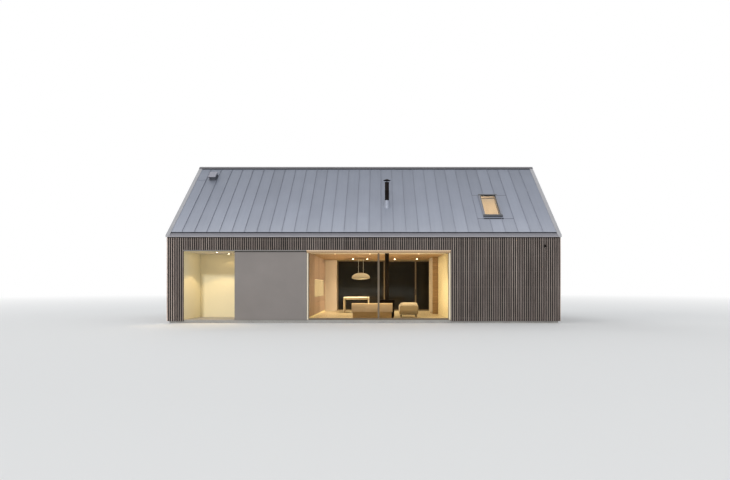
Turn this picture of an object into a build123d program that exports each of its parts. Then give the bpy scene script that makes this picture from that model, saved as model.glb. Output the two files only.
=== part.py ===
from build123d import *
import os
from math import cos, radians, sin, tan

# A modern barn-type house: batten-clad walls, a steep standing seam roof with hidden gutters,
# a recessed porch and a wide glazed living room. Millimetres. X runs along the facade, the front
# looks towards -Y and Z is up. The origin is on the ground, under the middle of the house.

# Overall size
house_length = 15270.0
house_depth = 7200.0
eave_fascia = 54.0
roof_pitch = 44.0
verge_overhang = 20.0
eave_overhang = 50.0

# Walls, floors and cladding
wall_thickness = 420.0
cladding_thickness = 80.0
cladding_ground_gap = 80.0
slab_thickness = 120.0
storey_height = 2665.0
attic_floor_thickness = 260.0
soffit_above_openings = 545.0
partition_thickness = 150.0
plaster_recess = 50.0

# Openings of the facade, from its left corner to the right
corner_strip = 637.0
porch_width = 1972.0
porch_depth = 1820.0
plaster_panel_width = 2790.0
living_width = 5580.0
rear_opening_width = 4984.0
trim_height = 45.0
trim_projection = 10.0

# Glazing
frame_depth = 80.0
frame_setback = 120.0
frame_bar = 60.0
glass_thickness = 36.0
rear_terrace_leaf = 834.0
rear_narrow_pane = 1650.0

# Entrance door, in the right wall of the porch
porch_wall_thickness = 180.0
door_width = 900.0
door_height = 2150.0
door_leaf = 60.0
door_from_back = 130.0
door_rebate = 50.0
door_groove = 8.0
door_groove_inset = 60.0
handle_radius = 14.0
handle_standoff = 28.0
handle_length = 1200.0
handle_bottom = 450.0
handle_foot_inset = 180.0
handle_from_edge = 120.0

# Roof build-up
deck_thickness = 300.0
sheet_thickness = 6.0
seam_pitch = 484.0
seam_height = 25.0
seam_width = 10.0
first_seam = 465.0
last_seam_margin = 150.0
fold_height = 7.0
fold_width = 14.0

# Eave with its hidden gutter: a trough let into the deck, open along a slot under the sheet's edge
eave_cover = 148.0
gutter_width = 90.0
gutter_depth = 68.0
gutter_metal = 3.0
sheet_drip = 46.0

# Ridge and verges
ridge_cap_width = 105.0
ridge_cap_thickness = 5.0
verge_cap_width = 150.0
verge_cap_thickness = 12.0
verge_drop = 200.0

# Roof window
window_from_right = 2345.0
window_from_eave = 1200.0
window_width = 780.0
window_length = 1540.0
window_bar = 70.0
window_stand = 60.0
window_depth = 120.0
window_glass_thickness = 24.0
window_glass_drop = 18.0
window_hood = 90.0
window_hood_thickness = 14.0
flashing_side = 120.0
flashing_below = 105.0
flashing_thickness = 4.0

# Roof vent, between the first two seams
vent_from_eave = 3950.0
vent_from_seam = 145.0
vent_width = 280.0
vent_length = 380.0
vent_height = 165.0
vent_lid_thickness = 20.0
vent_lid_overhang = 25.0

# Stove and flue
flue_from_left = 3138.0
flue_from_front = 900.0
flue_radius = 85.0
flue_clearance = 12.0
flue_above_roof = 960.0
collar_radius = 170.0
collar_height = 200.0
collar_clearance = 0.3
cowl_radius = 150.0
cowl_height = 60.0
cowl_gap = 70.0
cowl_strap_width = 24.0
cowl_strap_thickness = 5.0
cowl_strap_count = 4
stove_width = 620.0
stove_depth = 450.0
stove_height = 750.0
stove_top = 20.0
stove_plinth = 60.0
stove_plinth_inset = 30.0
stove_top_overhang = 10.0
stove_door_margin = 60.0
stove_door_recess = 12.0

# Furniture seen through the glass, placed from the living room's left, front and rear walls
cabinet_from_left = 1716.0
cabinet_width = 1630.0
cabinet_depth = 400.0
cabinet_height = 620.0
cabinet_base_height = 280.0
cabinet_base_inset = 40.0
cabinet_from_wall = 50.0
table_from_left = 1704.0
table_from_rear = 1310.0
table_width = 1240.0
table_depth = 920.0
table_height = 760.0
table_top = 40.0
table_leg = 50.0
pendant_from_left = 1916.0
pendant_from_rear = 1350.0
pendant_radius = 450.0
pendant_rise = 250.0
pendant_belly = 90.0
pendant_bands = 5
pendant_above_floor = 1620.0
pendant_rod_radius = 5.0
pendant_rod_spread = 120.0
pendant_boss_radius = 150.0
pendant_boss_height = 8.0
pendant_rose_radius = 60.0
pendant_rose_height = 25.0
armchair_from_left = 4046.0
armchair_from_front = 1150.0
armchair_width = 800.0
armchair_depth = 780.0
armchair_seat_height = 400.0
armchair_back_height = 640.0
armchair_arm_height = 540.0
armchair_arm = 130.0
armchair_round = 32.0
armchair_leg_height = 120.0
armchair_leg_radius = 20.0
armchair_leg_inset = 90.0
cupboard_width = 280.0
cupboard_length = 1400.0
cupboard_from_front_wall = 3490.0

# Lamps
downlight_radius = 45.0
downlight_height = 12.0
rear_downlights_from_rear = 1080.0
rear_downlights_from_left = (1515.0, 2229.0, 3592.0, 4710.0)
front_downlights_from_front = 1105.0
front_downlights_from_left = (965.0, 2426.0, 4471.0)
porch_downlights_from_left = (1101.0, 1302.0)
porch_downlights_from_front = (636.0, 1500.0)
wall_lamp_from_corner = 595.0
wall_lamp_above_openings = 200.0
wall_lamp_width = 75.0
wall_lamp_height = 105.0
wall_lamp_depth = 46.0
wall_lamp_round = 10.0

# Levels and lines that follow from the sizes above
pitch = radians(roof_pitch)
half_depth = house_depth / 2
verge_face = house_length / 2
clad_x = verge_face - verge_overhang
core_x = clad_x - cladding_thickness
room_x = core_x - wall_thickness
clad_y = half_depth - eave_overhang
core_y = clad_y - cladding_thickness
room_y = core_y - wall_thickness
floor_z = slab_thickness
head_z = floor_z + storey_height
attic_z = head_z + attic_floor_thickness
eave_soffit = head_z + soffit_above_openings
eave_top = eave_soffit + eave_fascia
ridge_z = eave_top + half_depth * tan(pitch)
slope_length = half_depth / cos(pitch)
porch_left = -clad_x + corner_strip
porch_right = porch_left + porch_width
porch_back = -clad_y + porch_depth
living_left = porch_right + plaster_panel_width
living_right = living_left + living_width
rear_left = living_right - rear_opening_width
trim_top = head_z + trim_height
gutter_front_y = half_depth - eave_cover * cos(pitch)
gutter_back_y = gutter_front_y - gutter_width
gutter_floor_z = eave_top + eave_cover * sin(pitch) - gutter_depth
window_x = core_x - window_from_right
flue_x = living_left + flue_from_left
flue_y = -room_y + flue_from_front

# The front roof plane: x along the house, y up the slope from the eave, z out of the roof
slope = Plane(origin=(0, -half_depth, eave_top), x_dir=(1, 0, 0), z_dir=(0, -sin(pitch), cos(pitch)))
up_slope = (0, cos(pitch), sin(pitch))
far = house_length


def block(x, y, z):
    """A box given by its (low, high) limits along each axis."""
    size = [high - low for low, high in (x, y, z)]
    return Pos(*((low + high) / 2 for low, high in (x, y, z))) * Box(*size)


def about(middle, length):
    """The (low, high) span of a length about its middle."""
    return (middle - length / 2, middle + length / 2)


def inside(span, inset):
    """A (low, high) span made shorter at both ends."""
    return (span[0] + inset, span[1] - inset)


def prism_along_x(outline, x):
    """A prism along X with its outline given as (y, z) points."""
    face = make_face(Plane.YZ.offset(x[0]) * Polyline(*outline, close=True))
    return extrude(face, amount=x[1] - x[0], dir=(1, 0, 0))


def roof_z(y, offset=0.0):
    """Height of the roof's surface at y, or of a plane parallel to it, outwards by the offset."""
    return eave_top + (half_depth - abs(y)) * tan(pitch) + offset / cos(pitch)


def roof_point(along, offset):
    """The (y, z) of a point of the front slope, so far up from the eave and out of the roof."""
    y = -half_depth + along * cos(pitch) - offset * sin(pitch)
    z = eave_top + along * sin(pitch) + offset * cos(pitch)
    return (y, z)


def both_slopes(points):
    """Closes an outline of the front half with its mirror image, from the ridge down."""
    return points + [(-y, z) for y, z in reversed(points) if y != 0]


def to_rear(shape):
    return mirror(shape, about=Plane.XZ)


deck_bottom = -sheet_thickness - deck_thickness
front_half = block((-far, far), (-far, 0), (-far, far))


def floor_slab():
    return block((-core_x, core_x), (-core_y, core_y), (0, floor_z))


def gable_wall(side):
    """A gable wall, its top cut to both slopes of the roof deck."""
    outline = [(-core_y, floor_z), (-core_y, roof_z(core_y, deck_bottom)), (0, roof_z(0, deck_bottom))]
    x = (-core_x, -room_x) if side < 0 else (room_x, core_x)
    return prism_along_x(both_slopes(outline), x)


def front_lintel():
    """The beam over all openings of the front, with the deck's slope on its top."""
    outline = [
        (-core_y, head_z),
        (-core_y, roof_z(core_y, deck_bottom)),
        (-room_y, roof_z(room_y, deck_bottom)),
        (-room_y, head_z),
    ]
    return prism_along_x(outline, (-room_x, room_x))


def wall_between(x, y):
    """A storey-high wall."""
    return block(x, y, (floor_z, head_z))


def porch_right_wall():
    """The porch's right wall, with the doorway and a rebate that the leaf stands in."""
    x = (porch_right, porch_right + porch_wall_thickness)
    doorway = block((x[0] - 1, x[1] + 1), door_span(), (floor_z, floor_z + door_height))
    return wall_between(x, (-room_y, porch_back)) - doorway


def door_span():
    low = porch_back - door_from_back - door_width
    return (low, low + door_width)


def over_door(inset, x):
    """A box over the door leaf, smaller than it by the inset all round."""
    low, high = door_span()
    z = (floor_z + inset, floor_z + door_height - inset)
    return block(x, (low + inset, high - inset), z)


def entrance_door():
    """A plain door leaf with a shadow groove round it and a long bar handle on two feet."""
    face = porch_right + door_rebate
    groove = over_door(door_groove_inset, (face, face + door_groove))
    groove -= over_door(door_groove_inset + door_groove, (face, face + door_groove))
    leaf = over_door(0, (face, face + door_leaf)) - groove
    handle_y = door_span()[1] - handle_from_edge
    bottom = floor_z + handle_bottom
    top = bottom + handle_length
    bar = Cylinder(handle_radius, handle_length)
    leaf += Pos(face - handle_standoff, handle_y, (bottom + top) / 2) * bar
    foot = Rot(Y=90) * Cylinder(handle_radius / 2, handle_standoff)
    for foot_z in (bottom + handle_foot_inset, top - handle_foot_inset):
        leaf += Pos(face - handle_standoff / 2, handle_y, foot_z) * foot
    return leaf


def attic_floor():
    slab = block((-room_x, room_x), (-room_y, room_y), (head_z, attic_z))
    return slab - flue_hole()


def glazed_frame(x, y, mullions):
    """A window frame round an opening, with mullions at the given middles."""
    frame = block(x, y, (floor_z, head_z))
    for low, high in panes(x, mullions):
        frame -= block((low, high), (y[0] - 1, y[1] + 1), (floor_z + frame_bar, head_z - frame_bar))
    return frame


def panes(x, mullions):
    """The clear (low, high) spans between the bars of a frame."""
    edges = [x[0] + frame_bar / 2, *mullions, x[1] - frame_bar / 2]
    return [(low + frame_bar / 2, high - frame_bar / 2) for low, high in zip(edges, edges[1:])]


def glass_panes(x, y, mullions):
    """The panes that fill a frame, each in the middle of the frame's depth."""
    middle = (y[0] + y[1]) / 2
    depth = (middle - glass_thickness / 2, middle + glass_thickness / 2)
    height = (floor_z + frame_bar, head_z - frame_bar)
    return [block(span, depth, height) for span in panes(x, mullions)]


front_frame_y = (-clad_y + frame_setback, -clad_y + frame_setback + frame_depth)
rear_frame_y = (clad_y - frame_setback - frame_depth, clad_y - frame_setback)
front_mullions = [(living_left + living_right) / 2]
rear_mullions = [living_right - rear_terrace_leaf - rear_narrow_pane, living_right - rear_terrace_leaf]


def long_cladding(opening):
    """The cladding of a long side, open round the given span from below up to the trim."""
    panel = block((-clad_x, clad_x), (-clad_y, -core_y), (cladding_ground_gap, eave_soffit))
    return panel - block(opening, (-clad_y - 1, -core_y + 1), (cladding_ground_gap - 1, trim_top))


def gable_cladding(side):
    """The cladding of a gable, up to the underside of the verge trim."""
    outline = [
        (-core_y, cladding_ground_gap),
        (-core_y, eave_soffit),
        (-verge_foot_y(), eave_soffit),
        (0, roof_z(0, -verge_drop)),
    ]
    x = (-clad_x, -core_x) if side < 0 else (core_x, clad_x)
    return prism_along_x(both_slopes(outline), x)


def opening_trim():
    """The metal strips over the openings of the front and of the rear."""
    depth = (-clad_y - trim_projection, -core_y)
    front = block((porch_left, living_right), depth, (head_z, trim_top))
    rear = to_rear(block((rear_left, living_right), depth, (head_z, trim_top)))
    return [front, rear]


def roof_deck():
    """The front half of the insulated deck, notched for the gutter, mitred at the ridge, without holes."""
    notch_y = gutter_back_y - gutter_metal
    notch_z = gutter_floor_z - gutter_metal
    outline = [
        (-core_y, roof_z(core_y, deck_bottom)),
        (-core_y, notch_z),
        (-notch_y, notch_z),
        (-notch_y, roof_z(notch_y, -sheet_thickness)),
        (0, roof_z(0, -sheet_thickness)),
        (0, roof_z(0, deck_bottom)),
    ]
    return prism_along_x(outline, (-core_x, core_x))


def window_spans():
    """The roof window's outer (low, high) spans along X and up the slope."""
    return about(window_x, window_width), (window_from_eave, window_from_eave + window_length)


def window_hole():
    """The space of the roof window, square to the roof."""
    return slope * block(*window_spans(), (2 * deck_bottom, -deck_bottom))


def flue_hole():
    return Pos(flue_x, flue_y, 0) * Cylinder(flue_radius + flue_clearance, 2 * ridge_z)


def seam_lines():
    """The X of every standing seam, from the left verge to the right."""
    lines = []
    x = -core_x + first_seam
    while x < core_x - last_seam_margin:
        lines.append(x)
        x += seam_pitch
    return lines


def seamed_sheet():
    """The front roof sheet with its standing seams, mitred at the ridge."""
    profile = [(-core_x, -sheet_thickness), (core_x, -sheet_thickness), (core_x, 0)]
    for x in reversed(seam_lines()):
        right = x + seam_width / 2
        left = x - seam_width / 2
        profile += [(right, 0), (right, seam_height), (left, seam_height), (left, 0)]
    profile.append((-core_x, 0))
    section = Plane(origin=slope.origin, x_dir=(1, 0, 0), z_dir=tuple(-v for v in up_slope))
    face = make_face(section * Polyline(*profile, close=True))
    length = slope_length + seam_height * tan(pitch) + sheet_thickness
    sheet = extrude(face, amount=length, dir=up_slope)
    start = block((-far, far), (-gutter_back_y - sheet_drip, far), (-far, far))
    return sheet & start & front_half


def fold_across(x, along):
    """A low cross fold of the sheet between two seams."""
    return slope * block(x, (along - fold_width / 2, along + fold_width / 2), (0, fold_height))


def window_field():
    """The X span between the seams that pass clear of the roof window, and its span up the slope."""
    reach = window_width / 2 + flashing_side
    left = max(x for x in seam_lines() if x < window_x - reach) + seam_width / 2
    right = min(x for x in seam_lines() if x > window_x + reach) - seam_width / 2
    return (left, right), (window_from_eave - flashing_below, window_from_eave + window_length)


def roof_sheet_front():
    """The front sheet: its seams give way to a flat flashing field round the roof window."""
    x, s = window_field()
    sheet = seamed_sheet() - slope * block(x, s, (0, 2 * seam_height))
    sheet += slope * block(x, s, (0, flashing_thickness))
    for along in s:
        sheet += fold_across(x, along)
    edge_panel = (verge_cap_width - verge_face, seam_lines()[0] - seam_width / 2)
    sheet += fold_across(edge_panel, vent_from_eave)
    return sheet - window_hole() - flue_hole()


def ridge_layer(offsets, x):
    """A layer over the ridge, as wide as its cap, between two offsets out of the roof."""
    low = slope_length - ridge_cap_width
    under = [(0, roof_z(0, offsets[0])), roof_point(low, offsets[0])]
    over = [roof_point(low, offsets[1]), (0, roof_z(0, offsets[1]))]
    mirrored = [(-y, z) for y, z in (over[0], under[1])]
    return prism_along_x(under + over + mirrored, x)


def ridge_cap():
    """The folded cap that lies on the seams along the ridge, and closes down on both verges."""
    cap = ridge_layer((seam_height, seam_height + ridge_cap_thickness), (-verge_face, verge_face))
    for x in ((-verge_face, -core_x), (core_x, verge_face)):
        cap += ridge_layer((verge_cap_thickness, seam_height), x)
    return cap


def verge_foot_y():
    """Where the verge's lower edge leaves the level of the eave's soffit."""
    return half_depth - (eave_soffit - eave_top + verge_drop / cos(pitch)) / tan(pitch)


def verge(side):
    """The trim up one gable: a deep board with a cap plate that lies on the edge of the sheet."""
    cap_top = verge_cap_thickness
    board = [
        (-verge_foot_y(), eave_soffit),
        (-half_depth, eave_soffit),
        (-half_depth, roof_z(half_depth, cap_top)),
        (0, roof_z(0, cap_top)),
    ]
    ends = [(-y, z) for y, z in reversed(board[:3])]
    shape = prism_along_x(board + ends + [(0, roof_z(0, -verge_drop))], (core_x, verge_face))
    plate = [
        (-half_depth, roof_z(half_depth)),
        (-half_depth, roof_z(half_depth, cap_top)),
        (0, roof_z(0, cap_top)),
        (half_depth, roof_z(half_depth, cap_top)),
        (half_depth, roof_z(half_depth)),
        (0, roof_z(0)),
    ]
    shape += prism_along_x(plate, (verge_face - verge_cap_width, core_x))
    return shape if side > 0 else mirror(shape, about=Plane.YZ)


def eave():
    """The front eave: a fascia, a sloping cover and the sheet trough of the gutter behind it."""
    back_y = gutter_back_y - gutter_metal
    outline = [
        (-half_depth, eave_soffit),
        (-half_depth, eave_top),
        (-gutter_front_y, roof_z(gutter_front_y)),
        (-gutter_front_y, gutter_floor_z),
        (-gutter_back_y, gutter_floor_z),
        (-gutter_back_y, roof_z(gutter_back_y, -sheet_thickness)),
        (-back_y, roof_z(back_y, -sheet_thickness)),
        (-back_y, gutter_floor_z - gutter_metal),
        (-core_y, gutter_floor_z - gutter_metal),
        (-core_y, eave_soffit),
    ]
    return prism_along_x(outline, (-core_x, core_x))


def roof_window_frame():
    """The roof window's frame, standing proud of the roof, with a hood at its head and foot."""
    x, s = window_spans()
    depth = (-window_depth, window_stand)
    frame = block(x, s, depth) - block(inside(x, window_bar), inside(s, window_bar), inside(depth, -1))
    hood = (window_stand, window_stand + window_hood_thickness)
    frame += block(x, (s[1] - window_hood, s[1]), hood)
    frame += block(x, (s[0], s[0] + window_hood), hood)
    return slope * frame


def roof_window_glass():
    x, s = window_spans()
    top = window_stand - window_glass_drop
    depth = (top - window_glass_thickness, top)
    return slope * block(inside(x, window_bar), inside(s, window_bar), depth)


def roof_vent():
    """A low box on the sheet under a flat lid that reaches past it."""
    left = seam_lines()[0] + vent_from_seam
    x = (left, left + vent_width)
    s = (vent_from_eave, vent_from_eave + vent_length)
    lid_z = (vent_height, vent_height + vent_lid_thickness)
    lid = block(inside(x, -vent_lid_overhang), inside(s, -vent_lid_overhang), lid_z)
    return slope * (block(x, s, (0, vent_height)) + lid)


def flue_pipe():
    """The pipe from the stove through attic and roof, with a rain cowl held by straps."""
    bottom = floor_z + stove_height
    top = roof_z(flue_y) + flue_above_roof
    pipe = Pos(flue_x, flue_y, (bottom + top) / 2) * Cylinder(flue_radius, top - bottom)
    cowl_base = top + cowl_gap
    cowl = Cone(cowl_radius, cowl_strap_width, cowl_height)
    cowl = Pos(flue_x, flue_y, cowl_base + cowl_height / 2) * cowl
    strap_length = 2 * cowl_gap
    strap = Box(cowl_strap_thickness, cowl_strap_width, strap_length)
    strap = Pos(flue_radius, 0, top + cowl_gap - strap_length / 2) * strap
    for turn in range(cowl_strap_count):
        pipe += Pos(flue_x, flue_y, 0) * Rot(Z=turn * 360 / cowl_strap_count) * strap
    return pipe + cowl


def flue_collar():
    """The cone that flashes the pipe, cut to the roof's slope."""
    base = roof_z(flue_y)
    cone = Cone(collar_radius, flue_radius + 2 * flue_clearance, 2 * collar_height)
    collar = Pos(flue_x, flue_y, base) * cone
    collar -= Pos(flue_x, flue_y, base) * Cylinder(flue_radius + collar_clearance, 4 * collar_height)
    return collar & (slope * block((-far, far), (-far, far), (0, far)))


def stove():
    """A plain steel stove: plinth, body with a recessed glass door, and a top plate."""
    x = about(flue_x, stove_width)
    y = about(flue_y, stove_depth)
    body_z = (floor_z + stove_plinth, floor_z + stove_height - stove_top)
    front = y[0] + stove_top_overhang
    margin = stove_door_margin
    door = block(
        (x[0] + margin, x[1] - margin),
        (front, front + stove_door_recess),
        (body_z[0] + margin, body_z[1] - margin),
    )
    plinth = block(inside(x, stove_plinth_inset), inside(y, stove_plinth_inset), (floor_z, body_z[0]))
    body = block(inside(x, stove_top_overhang), inside(y, stove_top_overhang), body_z)
    return plinth + (body - door) + block(x, y, (body_z[1], floor_z + stove_height))


def low_cabinet():
    """A long low cabinet behind the glass, its body on a recessed base."""
    x = (living_left + cabinet_from_left, living_left + cabinet_from_left + cabinet_width)
    y = (-room_y + cabinet_from_wall, -room_y + cabinet_from_wall + cabinet_depth)
    base_top = floor_z + cabinet_base_height
    base = block(inside(x, cabinet_base_inset), inside(y, cabinet_base_inset), (floor_z, base_top))
    return base + block(x, y, (base_top, floor_z + cabinet_height))


def dining_table():
    """A table with a slab leg under each end of its top."""
    x = about(living_left + table_from_left, table_width)
    y = about(room_y - table_from_rear, table_depth)
    top_z = (floor_z + table_height - table_top, floor_z + table_height)
    table = block(x, y, top_z)
    for low in (x[0], x[1] - table_leg):
        table += block((low, low + table_leg), y, (floor_z, top_z[0]))
    return table


def pendant_lamp():
    """A wide shallow shade of flat bands, domed above, bellied below, on rods from a ceiling rose."""
    rim_z = floor_z + pendant_above_floor + pendant_belly
    turns = [radians(90 * band / pendant_bands) for band in range(pendant_bands + 1)]
    crown = [(pendant_radius * sin(turn), rim_z + pendant_rise * cos(turn)) for turn in turns]
    belly = [(pendant_radius * sin(turn), rim_z - pendant_belly * cos(turn)) for turn in turns]
    outline = crown + belly[-2::-1]
    lamp = revolve(make_face(Plane.XZ * Polyline(*outline, close=True)), axis=Axis.Z)
    crown_z = rim_z + pendant_rise + pendant_boss_height
    lamp += Pos(0, 0, crown_z - pendant_rise / 2) * Cylinder(pendant_boss_radius, pendant_rise)
    rod = Cylinder(pendant_rod_radius, head_z - crown_z)
    for side in (-1, 1):
        lamp += Pos(side * pendant_rod_spread, 0, (head_z + crown_z) / 2) * rod
    rose_width = pendant_rose_radius + pendant_rod_spread
    rose = Box(2 * rose_width, 2 * pendant_rose_radius, pendant_rose_height)
    lamp += Pos(0, 0, head_z - pendant_rose_height / 2) * rose
    return Pos(living_left + pendant_from_left, room_y - pendant_from_rear, 0) * lamp


def armchair():
    """A low upholstered armchair that faces into the room, on four round legs."""
    x = about(living_left + armchair_from_left, armchair_width)
    y = about(-room_y + armchair_from_front, armchair_depth)
    seat_bottom = floor_z + armchair_leg_height
    chair = block(x, y, (seat_bottom, floor_z + armchair_seat_height))
    chair += block(x, (y[0], y[0] + armchair_arm), (seat_bottom, floor_z + armchair_back_height))
    for low in (x[0], x[1] - armchair_arm):
        chair += block((low, low + armchair_arm), y, (seat_bottom, floor_z + armchair_arm_height))
    soft_edges = chair.edges().filter_by(Axis.Z)
    chair = fillet(soft_edges, armchair_round)
    for leg_x in inside(x, armchair_leg_inset):
        for leg_y in inside(y, armchair_leg_inset):
            leg = Cylinder(armchair_leg_radius, armchair_leg_height)
            chair += Pos(leg_x, leg_y, floor_z + armchair_leg_height / 2) * leg
    return chair


def tall_cupboard():
    """The storey-high cupboard on the living room's right wall."""
    y = (-room_y + cupboard_from_front_wall, -room_y + cupboard_from_front_wall + cupboard_length)
    return wall_between((living_right - cupboard_width, living_right), y)


def downlights():
    """Flat round ceiling lamps: a row near the living room's rear, one near its front, the porch's."""
    rear_row = room_y - rear_downlights_from_rear
    front_row = -room_y + front_downlights_from_front
    spots = [(living_left + x, rear_row) for x in rear_downlights_from_left]
    spots += [(living_left + x, front_row) for x in front_downlights_from_left]
    for x, y in zip(porch_downlights_from_left, porch_downlights_from_front):
        spots.append((porch_left + x, -clad_y + y))
    z = head_z - downlight_height / 2
    return [Pos(x, y, z) * Cylinder(downlight_radius, downlight_height) for x, y in spots]


def wall_lamp():
    """A small dark lamp housing on the facade, near its right end."""
    x = about(clad_x - wall_lamp_from_corner, wall_lamp_width)
    z = about(head_z + wall_lamp_above_openings, wall_lamp_height)
    body = block(x, (-clad_y - wall_lamp_depth, -clad_y), z)
    return fillet(body.edges().filter_by(Axis.Y), wall_lamp_round)


front_wall_y = (-core_y, -room_y)
rear_wall_y = (room_y, core_y)
plaster_y = (-clad_y + plaster_recess, -room_y)
room_depth = (-room_y, room_y)
living_x = (living_left, living_right)
rear_x = (rear_left, living_right)

parts = {
    "floor_slab": floor_slab(),
    "gable_wall_left": gable_wall(-1),
    "gable_wall_right": gable_wall(1),
    "front_lintel": front_lintel(),
    "front_wall_middle": wall_between((porch_right, living_left), plaster_y),
    "front_wall_right": wall_between((living_right, room_x), front_wall_y),
    "rear_lintel": to_rear(front_lintel()),
    "rear_wall_left": wall_between((-room_x, rear_left), rear_wall_y),
    "rear_wall_right": wall_between((living_right, room_x), rear_wall_y),
    "porch_left_wall": wall_between((-room_x, porch_left), (-core_y, porch_back)),
    "porch_back_wall": wall_between((-room_x, porch_right + porch_wall_thickness),
                                    (porch_back, porch_back + porch_wall_thickness)),
    "porch_right_wall": porch_right_wall(),
    "entrance_door": entrance_door(),
    "attic_floor": attic_floor(),
    "living_left_wall": wall_between((living_left - partition_thickness, living_left), room_depth),
    "living_right_wall": wall_between((living_right, living_right + partition_thickness), room_depth),
    "tall_cupboard": tall_cupboard(),
    "front_window_frame": glazed_frame(living_x, front_frame_y, front_mullions),
    "front_window_glass": glass_panes(living_x, front_frame_y, front_mullions),
    "rear_window_frame": glazed_frame(rear_x, rear_frame_y, rear_mullions),
    "rear_window_glass": glass_panes(rear_x, rear_frame_y, rear_mullions),
    "cladding_front": long_cladding((porch_left, living_right)),
    "cladding_rear": to_rear(long_cladding((rear_left, living_right))),
    "cladding_gable_left": gable_cladding(-1),
    "cladding_gable_right": gable_cladding(1),
    "opening_trim": opening_trim(),
    "roof_deck_front": roof_deck() - window_hole() - flue_hole(),
    "roof_deck_rear": to_rear(roof_deck()),
    "roof_sheet_front": roof_sheet_front(),
    "roof_sheet_rear": to_rear(seamed_sheet()),
    "ridge_cap": ridge_cap(),
    "verge_left": verge(-1),
    "verge_right": verge(1),
    "eave_front": eave(),
    "eave_rear": to_rear(eave()),
    "roof_window_frame": roof_window_frame(),
    "roof_window_glass": roof_window_glass(),
    "roof_vent": roof_vent(),
    "flue_pipe": flue_pipe(),
    "flue_collar": flue_collar(),
    "stove": stove(),
    "low_cabinet": low_cabinet(),
    "dining_table": dining_table(),
    "pendant_lamp": pendant_lamp(),
    "armchair": armchair(),
    "downlights": downlights(),
    "wall_lamp": wall_lamp(),
}

os.makedirs("parts", exist_ok=True)
for name, shape in parts.items():
    solids = shape if isinstance(shape, list) else [shape]
    export_step(Compound([solid for piece in solids for solid in piece.solids()]), f"parts/{name}.step")
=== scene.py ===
import math
from itertools import pairwise

import bmesh
import bpy
import numpy as np
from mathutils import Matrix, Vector

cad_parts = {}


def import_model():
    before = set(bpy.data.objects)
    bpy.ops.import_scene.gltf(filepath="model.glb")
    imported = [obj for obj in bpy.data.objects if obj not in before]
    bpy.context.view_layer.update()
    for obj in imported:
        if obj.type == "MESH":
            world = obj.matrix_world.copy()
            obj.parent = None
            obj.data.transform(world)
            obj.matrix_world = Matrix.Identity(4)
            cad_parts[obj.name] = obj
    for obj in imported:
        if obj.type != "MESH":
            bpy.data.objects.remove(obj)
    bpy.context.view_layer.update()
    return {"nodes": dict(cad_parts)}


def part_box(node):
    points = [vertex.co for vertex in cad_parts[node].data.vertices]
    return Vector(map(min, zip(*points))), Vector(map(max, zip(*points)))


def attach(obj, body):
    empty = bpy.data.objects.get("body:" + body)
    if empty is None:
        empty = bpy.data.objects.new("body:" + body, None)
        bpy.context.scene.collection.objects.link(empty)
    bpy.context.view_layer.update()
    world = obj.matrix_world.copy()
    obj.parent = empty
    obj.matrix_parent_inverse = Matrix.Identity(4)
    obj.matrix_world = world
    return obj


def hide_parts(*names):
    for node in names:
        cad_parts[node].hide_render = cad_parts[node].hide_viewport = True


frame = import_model()
draws = np.random.default_rng(7)

# Sizes of what the frame leaves to this script, in metres
BATTEN_PITCH = 0.084
BATTEN_WIDTH = 0.035
BATTEN_DEPTH = 0.042
EDGE = 0.003
BACKING_DEPTH = 0.020
AIR_GAP = 0.018
RAIL_FOOT = 0.12
RAIL_HEIGHT = 0.045
RAIL_SPACING = 0.600
SCREW_RADIUS = 0.0045
SCREW_HEAD = 0.0012
PLANK = (2.2, 0.22)
TILE = (0.60, 0.60)
CEILING_BOARD = (2.8, 0.12)
PLASTER_STRIP = 1.23
PANEL_GAP = 0.004
LINING = 0.0125
SHEET = 0.006
SEAM = 0.025
LOCK_HALF = 0.0018
PLATE = 0.012
CAP_WIDTH = 0.105
APRON = 0.105
WINDOW_BAR = 0.070
DECK_UNDER = -0.306


# The frame's lines


def low(node):
    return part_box(node)[0]


def high(node):
    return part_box(node)[1]


def vertices(node):
    """The vertices of a CAD node as an array."""
    mesh = frame["nodes"][node].data
    points = np.empty(3 * len(mesh.vertices))
    mesh.vertices.foreach_get("co", points)
    return points.reshape(-1, 3)


def lines(node, axis):
    """The places along an axis at which a CAD node has corners."""
    return np.unique(np.round(vertices(node)[:, axis], 4))


def heights_at(node, y):
    """The lowest and highest corner of a CAD node at y."""
    points = vertices(node)
    z = points[abs(points[:, 1] - y) < 1e-4, 2]
    return z.min(), z.max()


CLAD_X, CLAD_Y = high("cladding_front").x, -low("cladding_front").y
CORE_X, CORE_Y, FLOOR = high("floor_slab")
ROOM_X, ROOM_Y, ATTIC = high("attic_floor")
CEILING = low("attic_floor").z
HALF_DEPTH, SOFFIT = -low("eave_front").y, low("eave_front").z
TRIM_TOP = high("opening_trim").z
PORCH_LEFT, PORCH_RIGHT = low("opening_trim").x, low("front_wall_middle").x
PORCH_BACK = low("porch_back_wall").y
LIVING_LEFT, LIVING_RIGHT = low("front_window_frame").x, high("front_window_frame").x
REAR_LEFT = low("rear_window_frame").x
PANE_LEFT, PANE_RIGHT = low("roof_window_glass").x, high("roof_window_glass").x

deck_under, deck_over = heights_at("roof_deck_rear", 0)
TAN = (deck_under - low("roof_deck_rear").z) / CORE_Y
COS = 1 / math.hypot(1, TAN)
SIN = TAN * COS
RIDGE = deck_over + SHEET / COS
EAVE_TOP = RIDGE - HALF_DEPTH * TAN
SLOPE_LENGTH = HALF_DEPTH / COS
VERGE_X, PLATE_X = high("verge_right").x, low("verge_right").x
seam_edges = lines("roof_sheet_rear", 0)[1:-1]
SEAMS = list((seam_edges[0::2] + seam_edges[1::2]) / 2)


def half_turn(points):
    """The rear's place of something made for the front, turned round the house's middle."""
    return np.asarray(points, float) * (-1, -1, 1)


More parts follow.
